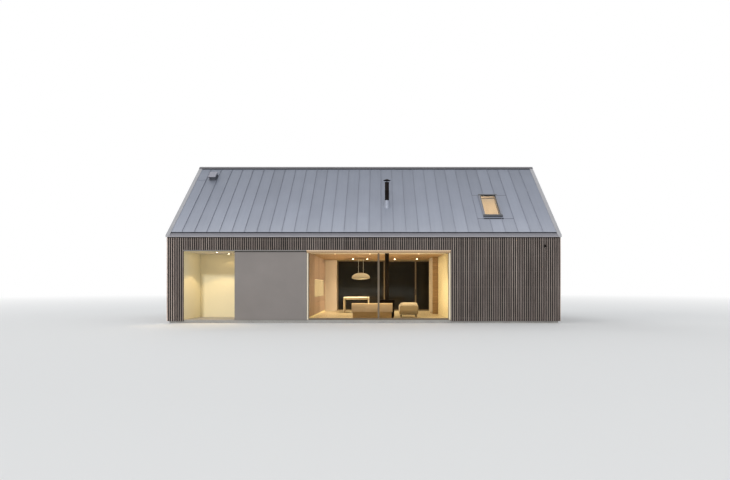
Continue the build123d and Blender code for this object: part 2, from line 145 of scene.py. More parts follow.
def on_front(points):
    """From (x, up the slope, out of the roof) to the front slope."""
    x, along, out = np.asarray(points, float).T
    y, z = -HALF_DEPTH + along * COS - out * SIN, EAVE_TOP + along * SIN + out * COS
    return np.stack([x, y, z], axis=1)


def on_rear(points):
    return half_turn(on_front(points))


def upright(points):
    """From (x, height, depth) to the house's axes."""
    return np.asarray(points)[:, (0, 2, 1)]


def lengths(start, end, step):
    """The (start, end) pairs of lengths laid from start to end, the last one cut."""
    return [(a, min(a + step, end)) for a in np.arange(start, end, step)]


def up_slope_of(node):
    """How far up the front slope a node starts and ends."""
    points = vertices(node)
    along = (points[:, 1] + HALF_DEPTH) * COS + (points[:, 2] - EAVE_TOP) * SIN
    return along.min(), along.max()


# Shapes


def cut_cube():
    """Corners and faces of a cube from -1 to 1 with its edges cut, its inner corners at 0.5."""
    solid = bmesh.new()
    bmesh.ops.create_cube(solid, size=2)
    bmesh.ops.bevel(solid, geom=solid.edges[:], offset=0.5, segments=1, affect="EDGES")
    corners = np.array([v.co for v in solid.verts])
    faces = [[v.index for v in face.verts] for face in solid.faces]
    solid.free()
    return corners, faces


CUBE_CORNERS, CUBE_FACES = cut_cube()


def shrunk(outline, amount):
    """An outline with every side moved inwards."""
    before = outline - np.roll(outline, 1, axis=0)
    after = np.roll(before, -1, axis=0)
    x, y = outline.T
    turning = (x * np.roll(y, -1) - y * np.roll(x, -1)).sum()
    first, second = (np.stack([-side[:, 1], side[:, 0]], axis=1) / np.linalg.norm(side, axis=1)[:, None]
                     for side in (before, after))
    share = 1 + (first * second).sum(axis=1)
    return outline + np.sign(turning) * amount * (first + second) / share[:, None]


def circle(centre, radius, z, turn):
    """Points round an upright axis."""
    x, y = centre[0] + radius * np.cos(turn), centre[1] + radius * np.sin(turn)
    return np.stack([x, y, np.full(len(turn), z)], axis=1)


class Shape:
    """Gathers simple solids into one mesh. Each solid has a tone that its material can read."""

    def __init__(self, place=np.asarray):
        self.place = place
        self.points = []
        self.faces = []
        self.tones = []
        self.count = 0

    def add(self, points, faces, tone=0.5):
        points = np.asarray(points, float)
        self.points.append(self.place(points))
        self.faces += [[index + self.count for index in face] for face in faces]
        self.tones += list(tone(points) if callable(tone) else np.broadcast_to(tone, len(points)))
        self.count += len(points)

    def box(self, lowest, highest, edge=EDGE, tone=0.5, lean=0.0):
        """A box with cut edges. Its top leans along Y by that much height for each metre."""
        lowest, highest = np.minimum(lowest, highest), np.maximum(lowest, highest)
        half = (highest - lowest) / 2
        cut = min(edge, 0.4 * half.min())
        outer = abs(CUBE_CORNERS) > 0.75
        points = np.sign(CUBE_CORNERS) * np.where(outer, half, half - cut)
        points[:, 2] += np.where(points[:, 2] > 0, lean * points[:, 1], 0)
        self.add(points + (lowest + highest) / 2, CUBE_FACES, tone)

    def ring(self, x, s, width, out, edge=0.002):
        """Four bars inside a rectangle, between two distances out of its plane."""
        (x0, x1), (s0, s1) = x, s
        foot, head = s0 + width, s1 - width
        for a, b, c, d in ((x0, s0, x1, foot), (x0, head, x1, s1),
                           (x0, foot, x0 + width, head), (x1 - width, foot, x1, head)):
            self.box((a, b, out[0]), (c, d, out[1]), edge)

    def prism(self, outline, start, end, tone=0.5, edge=0.0):
        """A (y, z) outline drawn out along X, its rims cut at both ends."""
        whole = np.asarray(outline, float)
        stations = [(start, whole), (end, whole)]
        if edge:
            inner = shrunk(whole, edge)
            stations = [(start, inner), (start + edge, whole), (end - edge, whole), (end, inner)]
        self.skin([np.insert(rim, 0, x, axis=1) for x, rim in stations], tone)

    def skin(self, rings, tone=0.5, closed=True, capped=True):
        """Joins rings of as many points each, with a cap at either end."""
        count = len(rings[0])
        faces = []
        for ring in range(len(rings) - 1):
            for index in range(count if closed else count - 1):
                here, there = ring * count + index, ring * count + (index + 1) % count
                faces.append([here, there, there + count, here + count])
        if capped:
            faces.append(list(range(count))[::-1])
            faces.append([(len(rings) - 1) * count + index for index in range(count)])
        self.add(np.concatenate(rings), faces, tone)

    def lathe(self, profile, centre, steps=48, tone=0.5, ribs=0, rib_depth=0.0):
        """Turns (radius, z) points round an upright axis, with ribs if any."""
        turn = np.linspace(0, 2 * math.pi, steps, endpoint=False)
        ribbed = 1 - rib_depth * (0.5 + 0.5 * np.cos(ribs * turn))
        self.skin([circle(centre, radius * ribbed, z, turn) for radius, z in profile], tone)

    def rod(self, radius, start, end, centre):
        """A plain upright rod."""
        self.lathe([(0, start), (radius, start), (radius, end), (0, end)], centre, 12)

    def piece(self, name, material, slot, *replaced, smooth=None):
        """Makes the mesh object, on the house's one body."""
        mesh = bpy.data.meshes.new(name)
        mesh.from_pydata(np.concatenate(self.points).tolist(), [], self.faces)
        tone = mesh.attributes.new("tone", "FLOAT", "POINT")
        tone.data.foreach_set("value", self.tones)
        return settle(mesh, material, replaced, smooth)


def new_object(name, data):
    """An object in the scene."""
    made = bpy.data.objects.new(name, data)
    bpy.context.collection.objects.link(made)
    return made


def settle(mesh, material, replaced=(), smooth=None):
    """Finishes a mesh as a piece: outward faces, soft shading up to an angle, material and body."""
    solid = bmesh.new()
    solid.from_mesh(mesh)
    bmesh.ops.recalc_face_normals(solid, faces=solid.faces)
    solid.to_mesh(mesh)
    solid.free()
    if smooth:
        mesh.polygons.foreach_set("use_smooth", [True] * len(mesh.polygons))
        mesh.set_sharp_from_angle(angle=math.radians(smooth))
    mesh.materials.append(material)
    piece = new_object(mesh.name, mesh)
    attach(piece, "root")
    if replaced:
        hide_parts(*replaced)
    return piece


def eased(node, material, width=EDGE):
    """A copy of a CAD node with its sharp edges rounded, in the node's place."""
    solid = bmesh.new()
    solid.from_mesh(frame["nodes"][node].data)
    bmesh.ops.remove_doubles(solid, verts=solid.verts, dist=1e-6)
    flat = math.radians(0.5)
    bmesh.ops.dissolve_limit(solid, angle_limit=flat, verts=solid.verts, edges=solid.edges)
    sharp = [edge for edge in solid.edges if edge.calc_face_angle(0) > math.radians(28)]
    bmesh.ops.bevel(solid, geom=sharp, offset=width, segments=2, affect="EDGES", clamp_overlap=True)
    mesh = bpy.data.meshes.new(f"{node}_finish")
    solid.to_mesh(mesh)
    solid.free()
    settle(mesh, material, [node], 35)


def paint(node, material):
    """Gives a CAD node that keeps its own mesh a better material."""
    mesh = frame["nodes"][node].data
    mesh.materials.clear()
    mesh.materials.append(material)


# Materials


def feed(socket, source):
    """Links a socket to a source, or sets it to a number, a vector or a colour."""
    if isinstance(source, bpy.types.NodeSocket):
        socket.id_data.links.new(source, socket)
    elif isinstance(source, tuple) and len(socket.default_value) == 4:
        socket.default_value = (*source, 1)
    else:
        socket.default_value = source


def add_node(tree, kind, *sources, **settings):
    """A shader node: its first sockets in order, then sockets by capitalised names and plain settings."""
    node = tree.nodes.new(f"ShaderNode{kind}")
    for socket, source in zip(node.inputs, sources):
        feed(socket, source)
    for name, value in settings.items():
        if name[0].isupper():
            feed(node.inputs[name.replace("_", " ")], value)
        else:
            setattr(node, name, value)
    return node


class Look:
    """A Principled material and the nodes that feed it."""

    def __init__(self, name, roughness, metallic=0.0, **sockets):
        self.material = bpy.data.materials.new(name)
        self.material.use_nodes = True
        self.tree = self.material.node_tree
        self.shader = self.tree.nodes["Principled BSDF"]
        self.set(Roughness=roughness, Metallic=metallic, **sockets)
        self.place = self.node("TexCoord").outputs["Object"]
        self.tone = self.node("Attribute", attribute_name="tone").outputs["Fac"]

    def node(self, kind, *sources, **settings):
        return add_node(self.tree, kind, *sources, **settings)

    def set(self, **sockets):
        for name, source in sockets.items():
            feed(self.shader.inputs[name.replace("_", " ")], source)

    def noise(self, scale, stretch=(1, 1, 1), detail=4.0, seed=0.0):
        """Noise over the object, stretched along an axis where its share is under 1."""
        spread = self.node("Mapping", self.place, Scale=stretch).outputs[0]
        shift = self.node("Math", self.tone, 40.0, seed, operation="MULTIPLY_ADD").outputs[0]
        noise = self.node("TexNoise", spread, noise_dimensions="4D", W=shift, Scale=scale, Detail=detail)
        return noise.outputs["Fac"]

    def ramp(self, factor, *stops):
        """A ramp from (place, colour) stops, a single number for a grey."""
        ramp = self.node("ValToRGB", factor)
        elements = ramp.color_ramp.elements
        while len(elements) < len(stops):
            elements.new(0.5)
        for element, (place, colour) in zip(elements, stops):
            element.position = place
            element.color = (*colour, 1) if isinstance(colour, tuple) else (*(colour,) * 3, 1)
        return ramp.outputs["Color"]

    def shades(self, factor, colour, least, most, start=0.3, end=0.7):
        """A ramp between two shares of a colour."""
        return self.ramp(factor, (start, scaled(colour, least)), (end, scaled(colour, most)))

    def mixed(self, factor, one, other, blend="MIX"):
        """Two colours mixed, by a number or a socket."""
        mix = self.node("Mix", data_type="RGBA", blend_type=blend)
        for index, source in ((0, factor), (6, one), (7, other)):
            feed(mix.inputs[index], source)
        return mix.outputs[2]

    def times(self, one, other):
        return self.mixed(1.0, one, other, "MULTIPLY")

    def toned(self, base, *stops):
        """The base colour in the shade of each solid's tone, from (tone, share) stops."""
        self.set(Base_Color=self.times(base, self.ramp(self.tone, *stops)))

    def rough(self, source, least, most):
        """Roughness between two values by a source from 0 to 1."""
        self.set(Roughness=self.node("MapRange", source, To_Min=least, To_Max=most).outputs[0])

    def bump(self, height, distance, strength=1.0):
        """Bump over whatever bump the shader already has."""
        bump = self.node("Bump", Distance=distance, Strength=strength, Height=height)
        before = self.shader.inputs["Normal"]
        if before.is_linked:
            feed(bump.inputs["Normal"], before.links[0].from_socket)
        feed(before, bump.outputs[0])


def scaled(colour, share):
    return tuple(channel * share for channel in colour)


def plaster(name, colour, variation=0.10, grain=220.0):
    """Matt mineral plaster: cloudy tone, fine grain and faint trowel waves."""
    look = Look(name, 0.9)
    look.set(Base_Color=look.shades(look.noise(0.9, detail=5.0), colour, 1 - variation, 1 + variation / 2))
    look.rough(look.noise(6.0), 0.82, 0.95)
    look.bump(look.noise(grain, detail=2.0), 0.0006)
    look.bump(look.noise(3.5, (1, 1, 0.5), 3.0, 5.0), 0.003, 0.5)
    return look.material


def concrete(name, colour):
    look = Look(name, 0.85)
    cloud = look.mixed(0.5, look.noise(2.2, detail=7.0), look.noise(19.0, detail=5.0, seed=3.0))
    look.set(Base_Color=look.shades(cloud, colour, 0.8, 1.12, 0.35, 0.65))
    look.rough(look.noise(12.0), 0.7, 0.95)
    look.bump(look.noise(160.0, detail=3.0), 0.0008)
    return look.material


def wood(name, dark, light, grain=(1, 1, 0.05), gloss=(0.38, 0.6), spread=0.25):
    """Wood with fibres along the axis whose grain share is small, each board in its own tone."""
    look = Look(name, 0.5)
    fibre = 70.0
    figure = look.noise(fibre / 8, grain, 3.0)
    fibres = look.noise(fibre, grain, 6.0, 2.0)
    base = look.ramp(look.mixed(0.45, figure, fibres), (0.32, dark), (0.68, light))
    look.toned(base, (0.0, 1 - spread), (1.0, 1 + spread))
    look.rough(fibres, *gloss)
    look.bump(fibres, 0.0004)
    return look.material


def weathered(name, dark, light, silver):
    """Uncoated wood turned grey by weather, with upright fibres and rain streaks."""
    look = Look(name, 0.85)
    fibres = look.noise(130.0, (1, 1, 0.03), 6.0)
    base = look.ramp(fibres, (0.33, dark), (0.67, light))
    streaks = look.ramp(look.noise(5.0, (1, 1, 0.12), 4.0, 9.0), (0.4, 0), (0.75, 1))
    # The tone ramp carries painted shade at the battens' backs and painted light on the corner and strip
    # battens, over the real weathering.
    look.toned(look.mixed(streaks, base, silver), (0.0, 0.12), (0.3, 0.8), (0.7, 1.15), (1.0, 3.0))
    look.rough(fibres, 0.7, 0.95)
    look.bump(fibres, 0.0009)
    return look.material


def metal(name, colour, rough=(0.38, 0.55), metallic=0.0, variation=0.06, **sockets):
    """Coated sheet with slightly uneven tone and gloss."""
    look = Look(name, rough[0], metallic, **sockets)
    base = look.shades(look.noise(1.6, detail=5.0), colour, 1 - variation, 1 + variation)
    look.toned(base, (0.0, 1 - variation), (1.0, 1 + variation))
    look.rough(look.noise(9.0, detail=5.0, seed=4.0), *rough)
    look.bump(look.noise(350.0, detail=1.0), 0.0001, 0.4)
    return look.material


def zinc(name, colour, least=0.93, most=1.06):
    """Pre-weathered roof sheet: pans in unlike tones, soft runs, and painted sky light that makes it paler
    towards the eave and darker towards the ridge.
    """
    look = Look(name, 0.42, 0.25)
    base = look.shades(look.noise(0.8, detail=6.0), colour, 0.95, 1.05)
    runs = look.ramp(look.noise(14.0, (1, 0.04, 0.04), 4.0, 6.0), (0.45, 1), (0.8, (0.94, 0.945, 0.95)))
    height = look.node("SeparateXYZ", look.place).outputs["Z"]
    up_slope_share = look.node("MapRange", height, From_Min=EAVE_TOP, From_Max=RIDGE).outputs[0]
    # The ramp named rain is painted sky light: paler low on the slope, darker towards the ridge.
    rain = look.ramp(up_slope_share, (0.0, (1.2, 1.17, 1.16)), (0.25, (0.99, 0.98, 1.0)),
                     (0.5, (0.86, 0.855, 0.88)), (1.0, (0.68, 0.685, 0.71)))
    look.toned(look.times(look.times(base, runs), rain), (0.0, least), (1.0, most))
    look.rough(look.noise(5.0, (1, 0.3, 0.3), 5.0, 4.0), 0.36, 0.55)
    look.bump(look.noise(240.0, detail=2.0), 0.0001, 0.5)
    return look.material


def glass(name, colour, index, slant=None):
    """Clear or tinted glass. With slant, its gloss grows from one facing value to the other."""
    look = Look(name, 0.0, Base_Color=colour, Transmission_Weight=1.0, IOR=index)
    if slant:
        facing = look.node("LayerWeight").outputs["Facing"]
        gloss = look.node("MapRange", facing, From_Min=slant[0], From_Max=slant[1])
        look.set(Coat_Weight=gloss.outputs[0])
    return wavy(look)


def night_glass(name, colour):
    """Glass that shows no light behind it: a deep tint under a faint gloss."""
    return wavy(Look(name, 0.05, Base_Color=colour, IOR=1.3))


def wavy(look):
    """The faint unevenness of a pane."""
    look.bump(look.noise(0.9, detail=1.0), 0.0006, 0.12)
    return look.material


def fabric(name, colour):
    """Woven wool: two crossed threads, lint and a soft sheen."""
    look = Look(name, 0.95, Sheen_Weight=0.35, Sheen_Roughness=0.5)
    look.set(Base_Color=look.shades(look.noise(60.0, detail=5.0), colour, 0.8, 1.12))
    for direction in ("X", "Z"):
        thread = look.node("TexWave", look.place, bands_direction=direction, Scale=120.0, Distortion=1.5)
        look.bump(thread.outputs["Fac"], 0.0012, 0.5)
    return look.material


def light_body(name, colour, glow, strength):
    """A lit diffuser, with faint fibres where it is paper; a low tone darkens its colour and glow, which the
    pendant uses as painted shade.
    """
    look = Look(name, 0.6, Emission_Strength=strength)
    fibres = look.noise(35.0, (1, 1, 0.3), 5.0)
    shade = look.ramp(look.tone, (0.0, 0), (0.5, 1))
    base, lit = look.shades(fibres, colour, 0.85, 1), look.shades(fibres, glow, 0.86, 1)
    look.set(Base_Color=look.times(base, shade), Emission_Color=look.times(lit, shade))
    look.bump(fibres, 0.0005)
    return look.material


# Battens: weathered wood, with painted light and shade in its tone ramp.
BATTEN = weathered("weathered_battens_painted_light_and_shade", (0.124, 0.099, 0.087), (0.263, 0.211, 0.186), (0.31, 0.26, 0.233))
MEMBRANE = plaster("dark_membrane", (0.012, 0.0115, 0.011))
# Black rubber for gaskets, also used for painted shadow strips.
GASKET_AND_SHADOW = plaster("gasket_rubber_and_painted_shadow", (0.015, 0.015, 0.015), grain=500.0)
GREY_PLASTER = plaster("grey_plaster", (0.228, 0.207, 0.195), 0.08)
CREAM_PLASTER = plaster("cream_plaster", (0.80, 0.73, 0.50), 0.04)
# A paler copy of the cream plaster: painted light.
LIT_CREAM_PLASTER = plaster("cream_plaster_painted_light", (0.92, 0.86, 0.62), 0.04)
REAR_PLASTER = plaster("rear_plaster", (0.56, 0.50, 0.46), 0.04)
CEILING_PLASTER = plaster("ceiling_plaster", (0.80, 0.74, 0.64), 0.03)
LINING_BOARD = plaster("lining_board", (0.82, 0.76, 0.66), 0.04)
SHADED_BOARD = plaster("shaded_board", (0.42, 0.37, 0.33), 0.04)
CASING = plaster("cream_casing", (0.84, 0.77, 0.62), 0.03)
PALE_DOORS = plaster("pale_doors", (0.52, 0.46, 0.38), 0.03)
CONCRETE = concrete("plinth_concrete", (0.34, 0.33, 0.31))
PAVER = concrete("porch_tile", (0.42, 0.40, 0.37))
STONE = concrete("splashback", (0.49, 0.455, 0.37))

ZINC = zinc("roof_zinc", (0.285, 0.31, 0.365))
# Seam sheet: its low tones, on the lock side of each seam and in the eave strip, are painted shade.
SEAM_ZINC = zinc("seam_zinc", (0.27, 0.285, 0.345), 0.38, 1.0)
SCREW = metal("screw_steel", (0.10, 0.09, 0.08), (0.5, 0.7), 0.3)
TRIM = metal("trim_sheet", (0.28, 0.272, 0.293), (0.4, 0.55), 0.15, 0.05)
VERGE_SHEET = metal("verge_sheet", (0.36, 0.36, 0.375), (0.4, 0.55), 0.15, 0.05)
COVER = metal("cover_sheet", (0.185, 0.183, 0.205), (0.45, 0.6), 0.15, 0.05)
# Ridge cap sheet, darker than the cover sheet partly as painted shade at its lower edge.
RIDGE_SHEET = metal("ridge_sheet_painted_shade", (0.155, 0.15, 0.163), (0.45, 0.6), 0.15, 0.05)
LID = metal("lid_sheet", (0.27, 0.27, 0.315), (0.4, 0.55), 0.1, 0.05)
WINDOW_SIDE = metal("window_side_sheet", (0.23, 0.235, 0.265), (0.45, 0.6), 0.1, 0.05)
SHADED_SHEET = metal("shaded_sheet", (0.10, 0.105, 0.13), (0.45, 0.6), 0.1, 0.05)
HEAD_SHEET = metal("head_sheet", (0.175, 0.165, 0.155), (0.4, 0.55), 0.1, 0.05)
# Near-black sheet for the gutter trough and the roof window's step: painted shade.
GUTTER_IN_SHADE = metal("gutter_painted_shade", (0.022, 0.022, 0.027), (0.5, 0.7), 0.1, Specular_IOR_Level=0.2)
# Dark metal of the roof window's head and foot bars, partly painted shade.
WINDOW_METAL = metal("window_metal", (0.085, 0.09, 0.098), (0.35, 0.5), 0.1)
FRAME_METAL = metal("frame_metal", (0.165, 0.128, 0.088), (0.5, 0.65), Specular_IOR_Level=0.3)
BLACK = metal("black_steel", (0.006, 0.004, 0.003), (0.5, 0.7), 0.0, 0.15, Specular_IOR_Level=0.1)
WHITE_METAL = metal("white_ring", (0.75, 0.74, 0.70), (0.3, 0.45))

ALONG_X = (0.05, 1, 1)
RAIL = wood("stained_rail", (0.022, 0.019, 0.017), (0.04, 0.035, 0.03), ALONG_X, (0.7, 0.9))
OAK = wood("oak_planks", (0.47, 0.395, 0.255), (0.70, 0.625, 0.455), ALONG_X, (0.22, 0.4), 0.12)
VENEER = wood("kitchen_veneer", (0.235, 0.158, 0.125), (0.385, 0.295, 0.25), spread=0.12)
SLATS = wood("slatted_oak", (0.265, 0.165, 0.085), (0.45, 0.30, 0.16), spread=0.18)
CEILING_WOOD = wood("ceiling_boards", (0.262, 0.16, 0.09), (0.435, 0.295, 0.17), ALONG_X, spread=0.12)
DOOR_WOOD = wood("door_boards", (0.155, 0.11, 0.075), (0.30, 0.22, 0.155), spread=0.15)
CABINET = wood("cabinet_oak", (0.605, 0.42, 0.24), (0.83, 0.62, 0.39), ALONG_X, spread=0.06)
TABLE = wood("table_oak", (0.76, 0.69, 0.58), (0.92, 0.86, 0.77), ALONG_X, spread=0.06)
SASH = wood("sash_pine", (0.68, 0.53, 0.38), (0.86, 0.72, 0.55), ALONG_X, spread=0.1)
DECK = wood("deck_boards", (0.26, 0.19, 0.12), (0.42, 0.33, 0.22), ALONG_X)
LEG_WOOD = wood("leg_walnut", (0.06, 0.035, 0.02), (0.13, 0.08, 0.045))

CLEAR_GLASS = glass("clear_glass", (0.97, 0.985, 0.975), 1.0, slant=(0.06, 0.5))
DARK_GLASS = night_glass("dark_glass", (0.0135, 0.0135, 0.013))
ROOF_GLASS = glass("roof_glass", (0.96, 0.98, 0.97), 1.22)
STOVE_GLASS = glass("stove_glass", (0.02, 0.02, 0.02), 1.45)
WOOL = fabric("oat_wool", (0.60, 0.50, 0.36))
PALE_WOOL = fabric("pale_wool", (0.46, 0.385, 0.28))
# A much darker copy of the wool: painted shade.
SHADED_WOOL = fabric("olive_wool_painted_shade", (0.165, 0.126, 0.072))

LENS, LENS_GLOW = (0.95, 0.90, 0.80), (1.0, 0.86, 0.62)
SHADE = light_body("paper_shade", (0.36, 0.32, 0.235), (1.0, 0.80, 0.52), 0.12)
LAMP = light_body("lamp_diffuser", LENS, LENS_GLOW, 12.0)
BRIGHT_LAMP = light_body("bright_diffuser", LENS, LENS_GLOW, 30.0)
SOFT_LAMP = light_body("soft_diffuser", LENS, LENS_GLOW, 4.0)
GLOW = light_body("splash_light", LENS, (1.0, 0.82, 0.55), 1.2)
# Glow for the window head and trim: painted light, no lamp.
PAINTED_HEAD_LIGHT = light_body("head_painted_light", (0.38, 0.32, 0.25), (1.0, 0.60, 0.28), 0.42)


# Cladding


def batten_middles(anchors):
    """Middles of battens that start and end at the anchors, near the usual pitch between them."""
    middles = [anchors[0]]
    for start, end in pairwise(anchors):
        middles += list(np.linspace(start, end, round((end - start) / BATTEN_PITCH) + 1)[1:])
    return middles


def cladding(kind, side, opening=None):
    """Battens on dark rails and a membrane, on a long side (y = side) or a gable (x = side)."""
    node, name = f"cladding_{kind}", f"battens_{kind}"
    long = opening is not None
    bottom, apex = low(node).z, high(node).z
    face, core = (CLAD_Y, CORE_Y) if long else (CLAD_X, CORE_X)
    edge = (CLAD_X if long else CLAD_Y - BATTEN_DEPTH) - BATTEN_WIDTH / 2
    jambs = [opening[0] - BATTEN_WIDTH / 2, opening[1] + BATTEN_WIDTH / 2] if long else []

    def on_wall(points):
        """From (depth behind the battens' faces, along the wall, height) to this side of the house."""
        depth, along, z = points.T
        out = side * (face - depth)
        return np.stack([along, out, z] if long else [out, along, z], axis=1)

    rails = np.arange(bottom + RAIL_FOOT, apex, RAIL_SPACING)
    battens, screws = Shape(on_wall), Shape(on_wall)
    for middle in batten_middles([-edge, *jambs, edge]):
        top = SOFFIT - AIR_GAP if long else max(SOFFIT, apex - abs(middle) * TAN)
        foot = TRIM_TOP if long and opening[0] < middle < opening[1] else bottom
        a = middle + draws.normal(0, 0.0007) - BATTEN_WIDTH / 2
        depth = abs(draws.normal(0, 0.0006))
        tone = painted_gap_shade(batten_tone_and_painted_light(middle, edge, opening))
        lean = -np.sign(middle) * TAN if top > SOFFIT else 0
        limits = [foot]
        if top > SOFFIT + RAIL_SPACING:
            limits.append(SOFFIT + draws.choice([0.0, RAIL_SPACING / 2]))
        limits.append(top - abs(lean) * BATTEN_WIDTH / 2)
        for z0, z1 in pairwise(limits):
            last = z1 == limits[-1]
            corner = (BATTEN_DEPTH, a + BATTEN_WIDTH, z1 if last else z1 - PANEL_GAP)
            battens.box((depth, a, z0), corner, EDGE, tone, lean if last else 0)
        for z in rails:
            if foot + RAIL_HEIGHT < z < top - RAIL_HEIGHT:
                add_screw(screws, middle, z)
    battens.piece(name, BATTEN, "batten_wood", node, smooth=20)
    screws.piece(f"{name}_screws", SCREW, "batten_wood", smooth=40)
    backing(name, on_wall, face - core - EDGE, bottom, apex, opening, rails)


def batten_tone_and_painted_light(middle, edge, opening):
    """A batten's tone: random for most; painted light makes the corner ones the palest and the ones of the
    narrow strip pale.
    """
    if abs(middle) > edge - BATTEN_WIDTH:
        return 1.0 if middle < 0 else 0.8
    usual, spread, least, most, palest = 0.48, 0.13, 0.24, 0.74, 0.78
    # Painted light: the battens of the narrow strip beside the porch are made paler.
    pale = 0.256 if opening and middle < opening[0] else 0.0
    return min(float(np.clip(draws.normal(usual, spread), least, most)) + pale, palest)


def painted_gap_shade(tone):
    """The tone at a batten's points: full on its face, falling to dark at its back as painted shade between
    the battens.
    """
    return lambda points: tone * np.clip((1 - points[:, 0] / BATTEN_DEPTH) * 1.15, 0, 1) ** 2


def add_screw(shape, along, z):
    """A low round screw head on a batten's face."""
    turn = np.linspace(0, 2 * math.pi, 7)[:-1]
    rings = []
    for share, depth in ((1, 0.0035), (1, 0.0015 - SCREW_HEAD / 2), (0.5, 0.0015 - SCREW_HEAD)):
        x, y = share * SCREW_RADIUS * np.cos(turn), share * SCREW_RADIUS * np.sin(turn)
        rings.append(np.stack([np.full(6, depth), along + x, z + y], axis=1))
    shape.skin(rings)


def backing(name, place, inner, bottom, apex, opening, rails):
    """The membrane wall behind the battens, and the rails between, both open at the opening."""
    membrane, rail = Shape(place), Shape(place)
    outer = inner - BACKING_DEPTH
    if opening is None:
        half = CLAD_Y - BATTEN_DEPTH - EDGE
        foot = min(half, (apex - SOFFIT) / TAN)
        outline = [(-half, bottom), (half, bottom), (half, SOFFIT), (foot, SOFFIT)]
        outline += [(0, apex - EDGE), (-foot, SOFFIT), (-half, SOFFIT)]
        membrane.prism(outline, outer, inner)
    else:
        half = CLAD_X - EDGE
        beside = [(-half, opening[0]), (opening[1], half)]
        for (a, b), foot in zip((*beside, opening), (bottom, bottom, TRIM_TOP)):
            membrane.box((outer, a, foot), (inner, b, SOFFIT))
    for z in rails:
        if opening is None:
            reach = half if z + RAIL_HEIGHT < SOFFIT else (apex - z - RAIL_HEIGHT) / TAN
            parts = [(-reach, reach)] if reach > RAIL_SPACING / 2 else []
        else:
            parts = [(-half, half)] if z > TRIM_TOP + RAIL_HEIGHT / 2 else beside
        for a, b in parts:
            lowest, highest = (BATTEN_DEPTH + 0.001, a, z - RAIL_HEIGHT / 2), (outer, b, z + RAIL_HEIGHT / 2)
            rail.box(lowest, highest, tone=draws.random())
    membrane.piece(f"{name}_backing", MEMBRANE, "batten_wood")
    rail.piece(f"{name}_rails", RAIL, "batten_wood")


# Roof


def pan(shape, x0, x1, s0, s1, tone, turn_up):
    """A roof pan: a faintly waving sheet whose long edges turn up into the seams."""
    if s1 - s0 < 0.02:
        return
    width = x1 - x0
    rise = np.array([[0.0, turn_up], [0.0015, 0.004], [0.007, 0.0]])
    across = np.concatenate([rise[:, 0], np.linspace(0.03, 0.97, 7) * width, width - rise[::-1, 0]])
    lift = np.concatenate([rise[:, 1], np.zeros(7), rise[::-1, 1]])
    belly = np.sin(math.pi * across / width) ** 2
    phase = draws.random(3) * 2 * math.pi
    rows = []
    step, calm, swell, clear = 0.2, 0.3, 0.0011, 0.0004
    for s in np.linspace(s0, s1, max(2, round((s1 - s0) / step))):
        wave = (np.sin(np.multiply(s, (2.1, 4.7, 9.1)) + phase) * (1, 0.7, 0.4)).sum()
        wave *= min(1, (s - s0) / calm, (s1 - s) / calm)
        out = lift + swell * wave * belly + clear
        rows.append(np.stack([x0 + across, np.full(len(across), s), out], axis=1))
    shape.skin(rows, tone, closed=False, capped=False)


def seam(shape, x, s0, s1, tone):
    """A double-lock standing seam, folded over to the right and down at its lower end: plain sheet on its
    left, the lock on its right darkened as painted shade."""
    left = [(-LOCK_HALF, 0.0), (-LOCK_HALF, 0.013), (-0.005, 0.0145), (-0.005, 0.0235), (-0.0035, SEAM)]
    section = np.array(left + [(-across, out) for across, out in reversed(left)])
    rings = []
    for s, share in ((s0, 0.15), (s0 + 0.035, 1.0), (s1, 1.0)):
        rings.append(np.stack([x + section[:, 0], np.full(len(section), s), section[:, 1] * share], axis=1))
    shape.skin(rings, np.tile([0.92 + tone] * 5 + [0.05 + tone] * 5, 3))


def roof_sheet(kind, place, fields=()):
    """Every pan and seam of one slope, left open at the fields."""
    sheet, seams = Shape(place), Shape(place)
    middles = [-x for x in reversed(SEAMS)] if place is on_rear else SEAMS
    start = (HALF_DEPTH + low("roof_sheet_front").y) / COS
    end = SLOPE_LENGTH - 0.004
    margin, verge_turn_up, turn_up = 0.01, 0.009, 0.018
    edges = [-PLATE_X - margin, *middles, PLATE_X + margin]
    for left, right in pairwise(edges):
        tone = float(np.clip(draws.normal(0.5, 0.22), 0, 1))
        middle = (left + right) / 2
        gaps = [s for x, s in fields if x[0] < middle < x[1]]
        edge = verge_turn_up if abs(middle) > middles[-1] else turn_up
        for s0, s1 in runs(start, end, gaps):
            pan(sheet, left + LOCK_HALF, right - LOCK_HALF, s0, s1, tone, edge)
    for x in middles:
        gaps = [s for span, s in fields if span[0] + margin < x < span[1] - margin]
        for s0, s1 in runs(start, end, gaps):
            seam(seams, x, s0, s1, draws.normal(0, 0.03))
    # A dark strip along the sheet's lower edge: painted shade that deepens the gutter slot's line.
    seams.box((-CORE_X, start - 0.001, -SHEET), (CORE_X, start + 0.016, 0.0012), 0.002, 0.2)
    seams.piece(f"roof_seams_{kind}", SEAM_ZINC, "roof_zinc", smooth=24)
    return sheet


def runs(start, end, gaps):
    """The stretches from start to end that the gaps leave."""
    pieces = []
    for low_end, high_end in sorted(gaps):
        pieces.append((start, low_end))
        start = high_end
    return pieces + [(start, end)]


